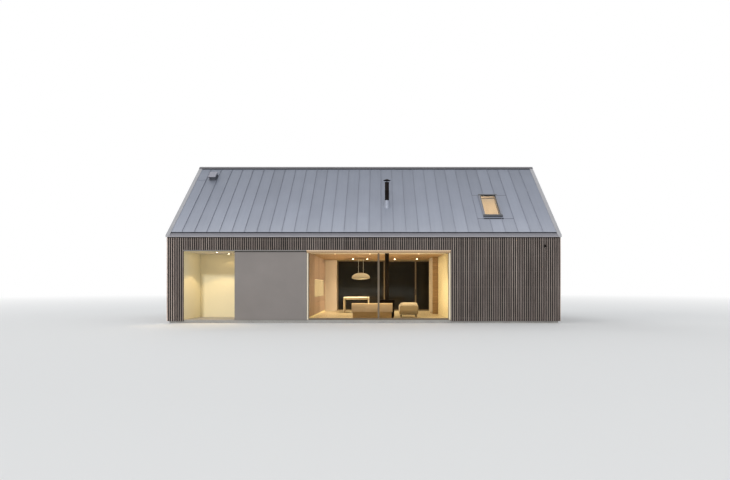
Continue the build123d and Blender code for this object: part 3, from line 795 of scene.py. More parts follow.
def front_sheet():
    """The front slope with the flashing round the roof window and the cross welts beside the vent."""
    reach = 0.15
    left = max(x for x in SEAMS if x < PANE_LEFT - reach)
    right = min(x for x in SEAMS if x > PANE_RIGHT + reach)
    foot, top = up_slope_of("roof_window_frame")
    bottom = foot - APRON
    sheet = roof_sheet("front", on_front, [((left, right), (bottom, top))])
    x0, x1 = PANE_LEFT - WINDOW_BAR, PANE_RIGHT + WINDOW_BAR
    flat = 0.004
    sheet.box((left, bottom, -flat), (right, foot, flat), 0.001, 0.45)
    sheet.box((left, foot, -flat), (x0, top, flat), 0.001, 0.5)
    sheet.box((x1, foot, -flat), (right, top, flat), 0.001, 0.4)
    joints, step = Shape(on_front), Shape(on_front)
    for s in (bottom, top):
        joints.box((left, s - 0.011, 0), (right, s + 0.011, 0.007), 0.002, 0.2)
    # A near-black strip across the apron under the window: painted shadow below the flashing's foot.
    step.box((x0 + 0.01, bottom - 0.028, 0), (x1 + 0.02, bottom + 0.028, 0.010), 0.002)
    joints.piece("roof_window_joints", SEAM_ZINC, "roof_zinc", smooth=24)
    step.piece("roof_window_step_painted_shadow", GUTTER_IN_SHADE, "roof_window_metal", smooth=24)
    for x in (x0 - 0.012, x1):
        sheet.box((x, foot - 0.03, 0), (x + 0.012, top + 0.01, 0.03), 0.002, 0.3)
    fold = up_slope_of("roof_vent")[0]
    for s in (fold, fold + 0.05):
        sheet.box((-PLATE_X, s - 0.006, 0), (SEAMS[0] - 0.006, s + 0.006, 0.006), 0.002, 0.2)
    sheet.piece("roof_pans_front", ZINC, "roof_zinc", "roof_sheet_front", smooth=24)


def eaves():
    """Each eave: a fascia, a darker cover sheet and behind it the open trough of the gutter, painted near
    black as shade.
    """
    lip, back = lines("eave_front", 1)[[1, 3]]
    trough, brim = heights_at("eave_front", lip)
    back_top = heights_at("eave_front", back)[1]
    metal_sheet, inset = 0.003, 0.001
    face, front = -HALF_DEPTH + inset, lip - 0.0008
    under = trough - metal_sheet
    outline = [(face, SOFFIT), (face, EAVE_TOP - metal_sheet / COS + inset * TAN)]
    outline += [(lip - inset, brim - metal_sheet / COS), (lip - inset, under)]
    outline += [(-CORE_Y, under), (-CORE_Y, SOFFIT)]
    for kind, place, turned in (("front", on_front, np.asarray), ("rear", on_rear, half_turn)):
        fascia, cover, gutter = Shape(turned), Shape(place), Shape(turned)
        fascia.prism(outline, -CORE_X, CORE_X)
        for x in np.arange(-CORE_X + 2.5, CORE_X - 0.1, 2.5):
            corner = (x + 0.02, face + 0.001, EAVE_TOP - 0.004)
            fascia.box((x - 0.02, -HALF_DEPTH, SOFFIT + 0.002), corner, 0.0005, 0.2)
        reach = (lip + HALF_DEPTH) / COS - 0.001
        for start, end in lengths(-CORE_X, CORE_X, 3.0):
            cover.box((start + 0.001, 0.002, -metal_sheet), (end - 0.001, reach, 0), 0.001, draws.random())
        gutter.box((-CORE_X, front, trough), (CORE_X, lip, brim - 0.003), 0.0003)
        gutter.box((-CORE_X, front, under), (CORE_X, back + metal_sheet, trough), 0.0005)
        gutter.box((-CORE_X, back, trough), (CORE_X, back + metal_sheet, back_top), 0.0005)
        fascia.piece(f"eave_fascia_{kind}", TRIM, "trim_metal", f"eave_{kind}")
        cover.piece(f"eave_cover_{kind}", COVER, "trim_metal")
        gutter.piece(f"eave_gutter_{kind}", GUTTER_IN_SHADE, "trim_metal")


def over_ridge(width, inner, outer):
    """The (y, z) outline of a folded layer over the ridge, between two distances out of the roof."""
    feet = [on_front([(0, SLOPE_LENGTH - width, out)])[0, 1:] for out in (inner, outer)]
    apex = [(0, RIDGE + out / COS) for out in (inner, outer)]
    return [apex[0], feet[0], feet[1], apex[1], feet[1] * (-1, 1), feet[0] * (-1, 1)]


def ridge():
    """The ridge cap in overlapping lengths, closed down on the verges, over a dark vent strip that reaches
    below the cap as painted shadow.
    """
    cap, strip = Shape(), Shape()
    for start, end in lengths(-VERGE_X, VERGE_X, 2.0):
        cap.prism(over_ridge(CAP_WIDTH - 0.0005, SEAM, SEAM + 0.0042), start, end, tone=draws.random())
        if end < VERGE_X:
            cap.prism(over_ridge(CAP_WIDTH, SEAM, SEAM + 0.005), end - 0.02, end + 0.02, tone=0.2)
    for x in (-VERGE_X, CORE_X):
        cap.prism(over_ridge(CAP_WIDTH - 0.001, PLATE, SEAM + 0.0005), x, x + VERGE_X - CORE_X)
    cap.piece("ridge_cap_lengths", RIDGE_SHEET, "roof_zinc", "ridge_cap")
    # The dark strip is partly the vent closure and partly painted shadow below the cap's edge.
    for place in (on_front, on_rear):
        strip.place = place
        strip.box((-PLATE_X, SLOPE_LENGTH - 0.145, 0.001), (PLATE_X, SLOPE_LENGTH - 0.06, 0.021), 0.001)
    strip.piece("ridge_vent_strip_and_painted_shadow", GASKET_AND_SHADOW, "roof_zinc")


def verges():
    """The deep board up each gable, its cap plate on the sheet and the laps of its lengths."""
    drop = RIDGE - high("cladding_gable_right").z
    foot = HALF_DEPTH - (SOFFIT - EAVE_TOP + drop) / TAN
    rise = PLATE / COS
    half = [(-foot, SOFFIT), (-HALF_DEPTH, SOFFIT), (-HALF_DEPTH, EAVE_TOP + rise)]
    board = half + [(0, RIDGE + rise)] + [(-y, z) for y, z in reversed(half)] + [(0, RIDGE - drop)]
    plate = [(-HALF_DEPTH, EAVE_TOP), (-HALF_DEPTH, EAVE_TOP + rise), (0, RIDGE + rise)]
    plate += [(HALF_DEPTH, EAVE_TOP + rise), (HALF_DEPTH, EAVE_TOP), (0, RIDGE)]
    for name, side in (("verge_left", -1), ("verge_right", 1)):
        trim = Shape(lambda points, side=side: np.asarray(points, float) * (side, 1, 1))
        trim.prism(board, CORE_X, VERGE_X, edge=0.0025)
        trim.prism(plate, PLATE_X, CORE_X + 0.003)
        trim.piece(f"{name}_board", VERGE_SHEET, "trim_metal", name)
    laps = Shape()
    for place in (on_front, on_rear):
        laps.place = place
        for side in (-1, 1):
            inner, outer = side * (PLATE_X + 0.001), side * (VERGE_X - 0.004)
            for s in np.arange(0.9, SLOPE_LENGTH - 0.3, 2.0):
                laps.box((inner, s - 0.03, PLATE - 0.001), (outer, s + 0.03, PLATE + 0.0012), 0.0005)
    laps.piece("verge_laps", VERGE_SHEET, "trim_metal")


def roof_window():
    """Bars, sash, gaskets and the lined shaft of the roof window: head and foot bars dark, partly as painted
    shade, and zinc sides.
    """
    paint("roof_window_glass", ROOF_GLASS)
    x0, x1 = PANE_LEFT + 0.001, PANE_RIGHT - 0.001
    s0, s1 = up_slope_of("roof_window_glass")
    stand, hood, under = 0.060, 0.074, -0.120
    left, right, foot, head = x0 - WINDOW_BAR, x1 + WINDOW_BAR, s0 - WINDOW_BAR, s1 + WINDOW_BAR
    bars, sides, gasket, sash, lining, shaded = (Shape(on_front) for _ in range(6))
    for start, end, lip in ((foot, s0, s0 + 0.020), (s1, head, s1)):
        bars.box((left, start, under), (right, end, stand))
        bars.box((left, min(start, lip), stand), (right, max(end, lip), hood), 0.004)
        middle, head_half = (start + end) / 2, 0.006
        for x in (x0 + 0.06, x1 - 0.06):
            corner = (x + head_half, middle + head_half, hood + 0.0015)
            bars.box((x - head_half, middle - head_half, hood - 0.001), corner, 0.001)
    for start, end in ((left, x0), (x1, right)):
        sides.box((start, s0, under), (end, s1, stand), 0.004)
        sides.box((start + 0.010, s0 + 0.02, stand - 0.001), (end - 0.010, s1 - 0.02, stand + 0.005), 0.002)
    bars.piece("roof_window_bars", WINDOW_METAL, "roof_window_metal", "roof_window_frame", smooth=30)
    sides.piece("roof_window_sides", WINDOW_SIDE, "roof_window_metal", smooth=30)
    gasket.ring((x0, x1), (s0, s1), 0.008, (0.042, 0.0465), 0.001)
    sash.ring((x0, x1), (s0, s1), 0.035, (-0.06, 0.017))
    # A dark strip under the hood: partly gasket, partly painted shadow.
    gasket.box((x0, s1 - 0.003, 0.047), (x1, s1, hood - 0.005), 0.0005)
    gasket.piece("roof_window_gasket", GASKET_AND_SHADOW, "roof_window_metal")
    sash.piece("roof_window_sash", SASH, "roof_window_metal")
    deep, inside = DECK_UNDER - LINING, under - 0.001
    lining.box((left, foot, deep), (right, foot + LINING, inside))
    lining.box((left, head - LINING, deep), (right, head, inside))
    lining.box((left, foot + LINING, deep), (left + LINING, head - LINING, inside))
    shaded.box((right - LINING, foot + LINING, deep), (right, head - LINING, inside))
    shaded.box((x1 - 0.034, s0 + 0.036, -0.058), (x1 - 0.030, s1 - 0.036, 0.015), 0.001)
    lining.piece("roof_window_shaft", LINING_BOARD, "ceiling_plaster")
    shaded.piece("roof_window_shaft_side", SHADED_BOARD, "ceiling_plaster")


def roof_vent():
    """The vent box with louvres in its lower face, under its flat lid."""
    points = vertices("roof_vent")
    levels = np.unique(np.round((points[:, 2] - EAVE_TOP) * COS - (points[:, 1] + HALF_DEPTH) * SIN, 4))
    lid, top = levels[-2:]
    s0, s1 = up_slope_of("roof_vent")
    x0, x1 = low("roof_vent").x, high("roof_vent").x
    reach = 0.025
    left, right, foot, head = x0 + reach, x1 - reach, s0 + reach, s1 - reach
    cover, body, louvres = Shape(on_front), Shape(on_front), Shape(on_front)
    cover.box((x0, s0, lid), (x1, s1, top), 0.004)
    body.box((x0 + 0.004, s0 + 0.004, lid - 0.012), (x1 - 0.004, s1 - 0.004, lid), 0.002)
    body.box((left, foot + 0.03, 0), (right, head, lid - 0.01), 0.004)
    for x in (left, right - 0.02):
        body.box((x, foot, 0), (x + 0.02, foot + 0.035, lid - 0.01))
    body.box((left - 0.03, foot - 0.02, 0), (right + 0.03, head + 0.03, 0.005), 0.002)
    for out in 0.014 + 0.023 * np.arange(6):
        rear = foot + 0.022
        outline = [(foot, out), (rear, out + 0.014), (rear, out + 0.017), (foot, out + 0.003)]
        louvres.prism(outline, left + 0.018, right - 0.018)
    cover.piece("vent_lid", LID, "roof_zinc", smooth=30)
    body.piece("vent_box", SHADED_SHEET, "roof_zinc", "roof_vent", smooth=30)
    louvres.piece("vent_louvres", SHADED_SHEET, "roof_zinc")


def attic():
    """Lining boards under both decks, seen through the roof window."""
    inner, outer = DECK_UNDER - LINING, DECK_UNDER - 0.0005
    start, end = (HALF_DEPTH - ROOM_Y + outer * SIN) / COS + 0.005, SLOPE_LENGTH - 0.33
    x0, x1 = PANE_LEFT - WINDOW_BAR, PANE_RIGHT + WINDOW_BAR
    s0, s1 = up_slope_of("roof_window_glass")
    front, rear = Shape(on_front), Shape(on_rear)
    room = ROOM_X - 0.001
    flue_left, flue_right = low("flue_pipe").x - 0.05, high("flue_pipe").x + 0.05
    for a, b, c, d in ((-room, start, flue_left, end), (flue_right, start, x0, end), (x1, start, room, end),
                       (x0, start, x1, s0 - WINDOW_BAR), (x0, s1 + WINDOW_BAR, x1, end)):
        front.box((a, b, inner), (c, d, outer), 0.002)
    for left, right in lengths(-room, room, 1.25):
        rear.box((left + 0.001, start, inner), (right - 0.001, end, outer), 0.002, draws.random())
    front.piece("attic_lining_front", LINING_BOARD, "ceiling_plaster")
    rear.piece("attic_lining_rear", LINING_BOARD, "ceiling_plaster")


def flue():
    """The pipe in lengths with lock bands, its cowl on straps, and the cone that flashes it."""
    lows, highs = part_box("flue_pipe")
    centre = ((lows.x + highs.x) / 2, (lows.y + highs.y) / 2)
    radius, cowl, cap = 0.085, 0.150, 0.060
    band, brim = radius + 0.003, highs.z - cap
    top = brim - 0.070
    profile = [(0, lows.z), (radius, lows.z)]
    for z in np.arange(lows.z + 0.5, top - 0.3, 1.0):
        profile += [(radius, z), (band, z + 0.004), (band, z + 0.046), (radius, z + 0.05)]
    profile += [(radius, top - 0.004), (radius - 0.004, top), (radius - 0.012, top)]
    profile += [(radius - 0.012, top - 0.3), (0, top - 0.3)]
    pipe = Shape()
    pipe.lathe(profile, centre)
    roof = [(0, highs.z), (0.020, highs.z), (cowl * 0.75, highs.z - cap * 0.7), (cowl, brim + 0.004)]
    pipe.lathe(roof + [(cowl, brim), (cowl - 0.006, brim), (0, brim + 0.02)], centre)
    width = 0.012
    for dx, dy in ((1, 0), (-1, 0), (0, 1), (0, -1)):
        across = np.array([dy, dx]) * width
        inner = np.add(centre, (dx * (band - 0.005), dy * (band - 0.005))) - across
        outer = np.add(centre, (dx * band, dy * band)) + across
        pipe.box((*inner, top - 0.07), (*outer, brim + 0.012), 0.001)
    pipe.piece("flue_and_cowl", BLACK, "black_steel", "flue_pipe", smooth=40)
    flue_flashing(centre)


def flue_flashing(centre):
    """The cone round the pipe, its foot on the slope, with a rolled rim and a flat flange."""
    foot, rim, height, pipe = 0.1395, 0.109, 0.200, 0.0853
    base = EAVE_TOP + (HALF_DEPTH + centre[1]) * TAN
    turn = np.linspace(0, 2 * math.pi, 49)[:-1]

    def on_slope(radius, narrowing, out):
        """Where a cone of that radius at the base meets the slope, moved out of it."""
        reach = radius / (1 + narrowing * np.sin(turn) * TAN)
        x, y = centre[0] + reach * np.cos(turn), reach * np.sin(turn)
        return np.stack([x, centre[1] + y - out * SIN, base + y * TAN + out * COS], axis=1)

    cone, flange = Shape(), Shape()
    levels = ((rim, height - 0.012), (rim + 0.003, height - 0.008), (rim + 0.003, height - 0.002),
              (rim, height), (pipe, height), (pipe, height - 0.03))
    rings = [on_slope(foot, (foot - rim) / height, 0.001)]
    cone.skin(rings + [circle(centre, radius, base + z, turn) for radius, z in levels], capped=False)
    rims = ((0.035, 0.0), (0.035, 0.003), (0.002, 0.0045))
    flange.skin([on_slope(foot + reach, 0, out) for reach, out in rims])
    cone.piece("flue_cone", ZINC, "roof_zinc", "flue_collar", smooth=40)
    flange.piece("flue_flange", ZINC, "roof_zinc", smooth=40)


# Glazing


def pane_spans(node):
    """The X spans of a glass node's panes."""
    edges = lines(node, 0)
    return list(zip(edges[0::2], edges[1::2]))


def window(kind, frame_material, glass_material):
    """A glazed opening: eased frame, gaskets round each pane, spacers and the panes' glass."""
    node, glazing = f"{kind}_window_frame", f"{kind}_window_glass"
    eased(node, frame_material)
    y = (low(node).y + high(node).y) / 2
    bar = low(glazing).z - FLOOR
    foot, head = FLOOR + bar, CEILING - bar
    gaskets, spacers, beads, leaves = Shape(upright), Shape(upright), Shape(upright), Shape()
    for x0, x1 in pane_spans(glazing):
        for sign in (-1, 1):
            for shape, width, near, far in ((gaskets, 0.004, 0.0175, 0.0235), (beads, 0.007, 0.0235, 0.036)):
                shape.ring((x0, x1), (foot, head), width, sorted((y + sign * near, y + sign * far)), 0.001)
            leaves.box((x0 + 0.0005, y + sign * 0.011, foot), (x1 - 0.0005, y + sign * 0.017, head), 0.0008)
        spacers.ring((x0, x1), (foot, head), 0.006, (y - 0.010, y + 0.010), 0.001)
    gaskets.piece(f"{kind}_window_gaskets", GASKET_AND_SHADOW, "window_frame")
    beads.piece(f"{kind}_window_beads", frame_material, "window_frame")
    leaves.piece(f"{kind}_window_panes", glass_material, "window_glass", glazing)
    spacers.piece(f"{kind}_window_spacers", BLACK, "window_frame")


def front_casing():
    """Cream casing on the glazing's jambs, and along its head two slim strips and the trim's underside that
    glow as painted light.
    """
    face, strip = low("front_window_frame").y, low("opening_trim").y
    bar = low("front_window_glass").z - FLOOR
    casing, lights = Shape(), Shape()
    for x in (LIVING_LEFT + 0.001, LIVING_RIGHT - bar + 0.002):
        casing.box((x, face - 0.005, FLOOR + 0.01), (x + bar - 0.003, face + 0.001, CEILING - bar), 0.0015)
    left, right = LIVING_LEFT + 0.002, LIVING_RIGHT - 0.002
    # The strips along the head and the trim's underside glow: painted light, no lamp.
    for z0, z1 in ((CEILING - bar + 0.002, CEILING - 0.040), (CEILING - 0.028, CEILING - 0.002)):
        lights.box((left, face - 0.006, z0), (right, face + 0.001, z1), 0.0015)
    corner = (LIVING_RIGHT - 0.001, strip + 0.001, TRIM_TOP - 0.009)
    lights.box((LIVING_LEFT, strip - 0.002, CEILING + 0.003), corner, 0.0008)
    casing.piece("front_casing", CASING, "cream_plaster", smooth=30)
    lights.piece("front_head_painted_light", PAINTED_HEAD_LIGHT, "lamp_light", smooth=30)


def terrace_pull():
    """The pull of the rear terrace leaf, inside and out."""
    x = pane_spans("rear_window_glass")[-1][0] - 0.033
    pull = Shape()
    for y in (low("rear_window_frame").y - 0.045, high("rear_window_frame").y + 0.012):
        pull.box((x - 0.011, y, 0.95), (x + 0.011, y + 0.033, 1.25), 0.006)
    pull.piece("terrace_pull", BLACK, "window_frame", smooth=40)


# Walls, floors and the porch


def tiled(shape, x, y, z, size, thickness, gap, stagger=0.0, edge=0.0015):
    """Plates side by side over a rectangle, each in its own tone."""
    half = gap / 2
    for row, (start, end) in enumerate(lengths(*y, size[1])):
        for left, right in lengths(x[0] - (row * stagger) % size[0], x[1], size[0]):
            left = max(left, x[0])
            if right - left > 4 * gap:
                lowest, highest = (left + half, start + half, z - thickness), (right - half, end - half, z)
                shape.box(lowest, highest, edge, draws.random())


def shell():
    """Structural pieces that show in reveals and inside, with their plaster and concrete."""
    eased("floor_slab", CONCRETE, 0.006)
    eased("front_wall_middle", GREY_PLASTER, 0.006)
    eased("opening_trim", HEAD_SHEET, 0.002)
    # A dark strip on the plaster's face under the trim: painted shadow.
    joint = Shape()
    face = low("front_wall_middle").y
    corner = (LIVING_LEFT - 0.006, face + 0.004, CEILING)
    joint.box((PORCH_RIGHT + 0.006, face - 0.001, CEILING - 0.026), corner, 0.001)
    joint.piece("plaster_top_painted_shadow", GASKET_AND_SHADOW, "grey_plaster")
    # The porch's left wall is in the paler copy of the cream plaster: painted light.
    eased("porch_left_wall", LIT_CREAM_PLASTER)
    for node in ("porch_back_wall", "porch_right_wall", "living_right_wall"):
        eased(node, CREAM_PLASTER)
    eased("living_left_wall", CREAM_PLASTER)
    for node in ("gable_wall_left", "gable_wall_right", "front_lintel", "front_wall_right", "rear_lintel",
                 "rear_wall_right"):
        eased(node, CREAM_PLASTER)
    eased("rear_wall_left", REAR_PLASTER)
    paint("attic_floor", CEILING_PLASTER)
    paint("roof_deck_front", DECK)
    paint("roof_deck_rear", DECK)


def floors():
    """Oak planks in the living room and large tiles in the porch, laid on the slab."""
    planks, tiles = Shape(), Shape()
    lift = 0.004
    level, front, rear = FLOOR + lift, high("front_window_frame").y, low("rear_window_frame").y
    tiled(planks, (LIVING_LEFT, LIVING_RIGHT), (-ROOM_Y, ROOM_Y), level, PLANK, lift, 0.0015, 0.83)
    tiled(planks, (LIVING_LEFT, LIVING_RIGHT), (front, -ROOM_Y), level, PLANK, lift, 0.0015)
    tiled(planks, (REAR_LEFT, LIVING_RIGHT), (ROOM_Y, rear), level, PLANK, lift, 0.0015)
    planks.piece("living_floor", OAK, "table_wood", smooth=30)
    x, y = (PORCH_LEFT + 0.004, PORCH_RIGHT - 0.004), (-CORE_Y + 0.004, PORCH_BACK - 0.004)
    tiled(tiles, x, y, level, TILE, lift, 0.004)
    tiles.piece("porch_tiles", PAVER, "concrete", smooth=30)


def ceiling():
    """Timber boards over the rear of the living room, behind the plastered front strip."""
    boards = Shape()
    y = (-ROOM_Y + PLASTER_STRIP, ROOM_Y)
    tiled(boards, (LIVING_LEFT, LIVING_RIGHT), y, CEILING, CEILING_BOARD, 0.005, 0.004, 1.1, 0.002)
    boards.piece("ceiling_boards", CEILING_WOOD, "wood_lining", smooth=30)


def kitchen():
    """Fronts, worktop edge and lit splashback on the living room's left wall."""
    fronts, stone, strip = Shape(), Shape(), Shape()
    x0, x1 = LIVING_LEFT, LIVING_LEFT + 0.020
    base, niche, top = FLOOR + 0.86, FLOOR + 1.60, CEILING - 0.02
    run = (-1.06, 2.10)
    plinth, split, lower = FLOOR + 0.08, FLOOR + 1.35, FLOOR + 0.36
    middle = lower + 0.26
    drawers = ((plinth, lower), (lower + PANEL_GAP, middle), (middle + PANEL_GAP, base - 0.03), (niche, top))
    tall_doors = ((plinth, split), (split + PANEL_GAP, top))
    for y in np.arange(-ROOM_Y + 0.02, ROOM_Y - 0.3, 0.6):
        end = min(y + 0.6, ROOM_Y - 0.01) - PANEL_GAP
        tone = draws.random()
        worktop = run[0] - 0.3 < y and end < run[1] + 0.3
        for z0, z1 in drawers if worktop else tall_doors:
            fronts.box((x0, y, z0), (x1, end, z1), 0.002, tone)
        if worktop:
            stone.box((x0, y - 0.002, base), (x0 + 0.008, end + 0.006, niche), 0.001, tone)
            stone.box((x0, y - 0.002, base - 0.026), (x1 + 0.004, end + 0.006, base), 0.002, tone)
    fronts.piece("kitchen_fronts", VENEER, "wood_lining", smooth=30)
    stone.piece("kitchen_splashback", STONE, "wood_lining", smooth=30)
    strip.box((x0 + 0.008, run[0], niche - 0.008), (x1, run[1], niche - 0.001), 0.001)
    strip.piece("splashback_light", GLOW, "lamp_light")


def cupboard():
    """The tall cupboard: level slats on its end towards the facade, pale doors towards the room."""
    (x0, y0, z0), (x1, y1, z1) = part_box("tall_cupboard")
    front, plinth = 0.019, z0 + 0.06
    body, slats, panel = Shape(), Shape(), Shape()
    body.box((x0 + front, y0 + 0.020, plinth), (x1, y1, z1))
    body.box((x0 + 0.05, y0 + 0.05, z0), (x1, y1 - 0.02, plinth), 0.002)
    for z in np.arange(z0 + 0.08, z1 - 0.03, 0.066):
        slats.box((x0 + 0.020, y0, z), (x1 - 0.002, y0 + 0.020, z + 0.046), EDGE, draws.random())
    for start, end in pairwise(np.linspace(y0 + 0.002, y1, 4)):
        panel.box((x0, start + 0.002, plinth + 0.005), (x0 + front, end - 0.002, z1 - 0.004), 0.002)
    body.piece("cupboard_body", SLATS, "wood_lining", "tall_cupboard", smooth=30)
    slats.piece("cupboard_slats", SLATS, "wood_lining", smooth=30)
    panel.piece("cupboard_doors", PALE_DOORS, "wood_lining", smooth=30)


def entrance_door():
    """The door leaf in upright boards, with its bar handle and lock plate."""
    (_, y0, _), (x1, y1, z1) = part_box("entrance_door")
    face, count = x1 - 0.060, 8
    boards, metalwork = Shape(), Shape()
    boards.box((face + 0.010, y0, FLOOR), (x1, y1, z1), EDGE, 0.3)
    for start, end in pairwise(np.linspace(y0, y1, count + 1)):
        lowest, highest = (face, start + 0.002, FLOOR + 0.012), (face + 0.012, end - 0.002, z1 - 0.002)
        boards.box(lowest, highest, EDGE, draws.random())
    boards.piece("door_leaf", DOOR_WOOD, "door_wood", "entrance_door", smooth=30)
    y, bar, radius = y1 - 0.120, face - 0.028, 0.014
    profile = [(0, FLOOR + 0.45), (radius, FLOOR + 0.452), (radius, FLOOR + 1.648), (0, FLOOR + 1.65)]
    metalwork.lathe(profile, (bar, y), 24)
    for z in (FLOOR + 0.63, FLOOR + 1.47):
        metalwork.box((bar, y - 0.007, z - 0.007), (face + 0.002, y + 0.007, z + 0.007))
    metalwork.box((face - 0.003, y - 0.022, FLOOR + 1.0), (face + 0.002, y + 0.022, FLOOR + 1.05), 0.002)
    metalwork.piece("door_handle", BLACK, "black_steel", smooth=40)


# Furniture and lamps


def cushion(name, lowest, highest, material=WOOL, power=5.0, replaced=()):
    """A crowned pad: a rounded block whose broad faces swell and whose sides pull in."""
    crown, swell, wrinkle = 0.04, 0.16, 0.004
    solid = bmesh.new()
    bmesh.ops.create_cube(solid, size=2)
    bmesh.ops.subdivide_edges(solid, edges=solid.edges[:], cuts=9, use_grid_fill=True)
    half, middle = np.subtract(highest, lowest) / 2, np.add(highest, lowest) / 2
    phase = draws.random(3) * 6
    thin = int(np.argmin(half))
    one, two = (axis for axis in range(3) if axis != thin)
    for vertex in solid.verts:
        p = np.array(vertex.co)
        p = p / max((abs(p) ** power).sum() ** (1 / power), 1e-6)
        scale = np.ones(3)
        scale[thin] = 1 - swell + swell * (1 - p[one] ** 2) * (1 - p[two] ** 2)
        scale[one] = 1 - crown * (1 - p[two] ** 2) * abs(p[one]) ** 4
        scale[two] = 1 - crown * (1 - p[one] ** 2) * abs(p[two]) ** 4
        ripple = wrinkle * np.sin(p * (9, 7, 6) + phase).prod()
        vertex.co = Vector(middle + p * half * scale * (1 + ripple))
    mesh = bpy.data.meshes.new(name)
    solid.to_mesh(mesh)
    solid.free()
    settle(mesh, material, replaced, 60)


def armchair():
    """A low armchair: padded arms, back and seat over a plain frame on turned legs."""
    (x0, y0, z0), (x1, y1, z1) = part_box("armchair")
    arm, gap = 0.130, 0.004
    base, seat, arm_top, front = z0 + 0.120, z0 + 0.400, z0 + 0.540, y0 + arm
    left, right, cut = x0 + arm + gap, x1 - arm - gap, z0 + 0.250
    cushion("armchair_arm_left", (x0, front, base), (x0 + arm, y1, arm_top))
    cushion("armchair_arm_right", (x1 - arm, front, base), (x1, y1, arm_top))
    # The back in the darker wool: painted shade on the face towards the front.
    cushion("armchair_back", (x0, y0, base), (x1, front, z1 - 0.12), SHADED_WOOL)
    inner = front + gap
    cushion("armchair_base", (left, inner, base), (right, y1 - 0.01, cut), WOOL, 9.0, ["armchair"])
    cushion("armchair_seat", (left, inner, cut), (right, y1, seat))
    foot = (x0 + 0.03, front - 0.06, seat - 0.01)
    cushion("armchair_back_pad", foot, (x1 - 0.03, front + 0.12, z1), PALE_WOOL, 4.0)
    legs = Shape()
    profile = [(0, z0), (0.013, z0), (0.014, z0 + 0.003), (0.020, base + 0.01), (0, base + 0.01)]
    for x in (x0 + 0.09, x1 - 0.09):
        for y in (y0 + 0.09, y1 - 0.09):
            legs.lathe(profile, (x, y), 20)
    legs.piece("armchair_legs", LEG_WOOD, "upholstery", smooth=40)


def cabinet():
    """The long low cabinet with three doors on each long face."""
    eased("low_cabinet", CABINET)
    (x0, y0, z0), (x1, y1, z1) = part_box("low_cabinet")
    doors = Shape()
    for start, end in pairwise(np.linspace(x0, x1, 4)):
        for y in (y0 - 0.0015, y1 - 0.0165):
            corner = (end - PANEL_GAP, y + 0.018, z1 - 0.022)
            doors.box((start + PANEL_GAP, y, z0 + 0.284), corner, 0.0015, draws.random())
    doors.piece("cabinet_doors", CABINET, "cabinet_wood", smooth=30)


def stove():
    """The stove's body with its glazed door and handle."""
    eased("stove", BLACK, 0.004)
    lows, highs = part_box("stove")
    front = lows.y + 0.022
    x0, x1, z0, z1 = lows.x + 0.06, highs.x - 0.06, lows.z + 0.12, highs.z - 0.08
    door, pane = Shape(upright), Shape()
    door.ring((x0 + 0.004, x1 - 0.004), (z0 + 0.004, z1 - 0.004), 0.045, (front - 0.014, front), EDGE)
    door.box((x1 - 0.035, z0 + 0.15, front - 0.020), (x1 - 0.018, z1 - 0.15, front - 0.012), 0.004)
    pane.box((x0 + 0.045, front - 0.008, z0 + 0.045), (x1 - 0.045, front - 0.003, z1 - 0.045), 0.001)
    door.piece("stove_door", BLACK, "black_steel", smooth=30)
    pane.piece("stove_door_glass", STOVE_GLASS, "black_steel")


def dining_table():
    """The table's top over its slab legs, with a rail between them."""
    eased("dining_table", TABLE, 0.004)
    lows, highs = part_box("dining_table")
    rail = Shape()
    y = (lows.y + highs.y) / 2
    rail.box((lows.x + 0.05, y - 0.015, highs.z - 0.13), (highs.x - 0.05, y + 0.015, highs.z - 0.04))
    rail.piece("table_rail", TABLE, "table_wood", smooth=30)


def pendant():
    """A ribbed paper shade on two rods from a long ceiling rose."""
    lows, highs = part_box("pendant_lamp")
    x, y = (lows.x + highs.x) / 2, (lows.y + highs.y) / 2
    radius = (highs.x - lows.x) / 2
    foot, dome = 0.09, 0.25
    rim = lows.z + foot
    crown = rim + dome
    profile = [(0.001, lows.z)]
    for turns, height in ((np.arange(8, 90, 8), -foot), (np.arange(90, 4, -7.5), dome)):
        for turn in np.radians(turns):
            profile.append((radius * math.sin(turn), rim + height * math.cos(turn)))
    profile.append((0.001, crown))

    def painted_foot_shade(points):
        """The shade is darker towards its foot: painted shade on its colour and glow."""
        return 0.27 + 0.23 * np.clip((points[:, 2] - lows.z - 0.02) / 0.16, 0, 1)

    shade, fitting, rods = Shape(), Shape(), Shape()
    shade.lathe(profile, (x, y), 288, painted_foot_shade, ribs=48, rib_depth=0.018)
    shade.piece("pendant_shade", SHADE, "lamp_shade", "pendant_lamp", smooth=25)
    plate = crown + 0.008
    profile = [(0, crown - 0.01), (0.150, crown - 0.01), (0.150, crown + 0.005), (0.147, plate), (0, plate)]
    fitting.lathe(profile, (x, y))
    for side in (-0.12, 0.12):
        rods.rod(0.005, crown, CEILING, (x + side, y))
    fitting.box((x - 0.18, y - 0.06, CEILING - 0.025), (x + 0.18, y + 0.06, CEILING - 0.012), 0.004)
    profile = [(0, plate), (0.008, plate), (0.010, plate + 0.008), (0, plate + 0.012)]
    for side in (-0.13, 0, 0.13):
        fitting.lathe(profile, (x + side, y), 12)
    fitting.piece("pendant_fitting", LEG_WOOD, "lamp_shade", smooth=40)
    rods.piece("pendant_rods", WHITE_METAL, "lamp_shade", smooth=40)


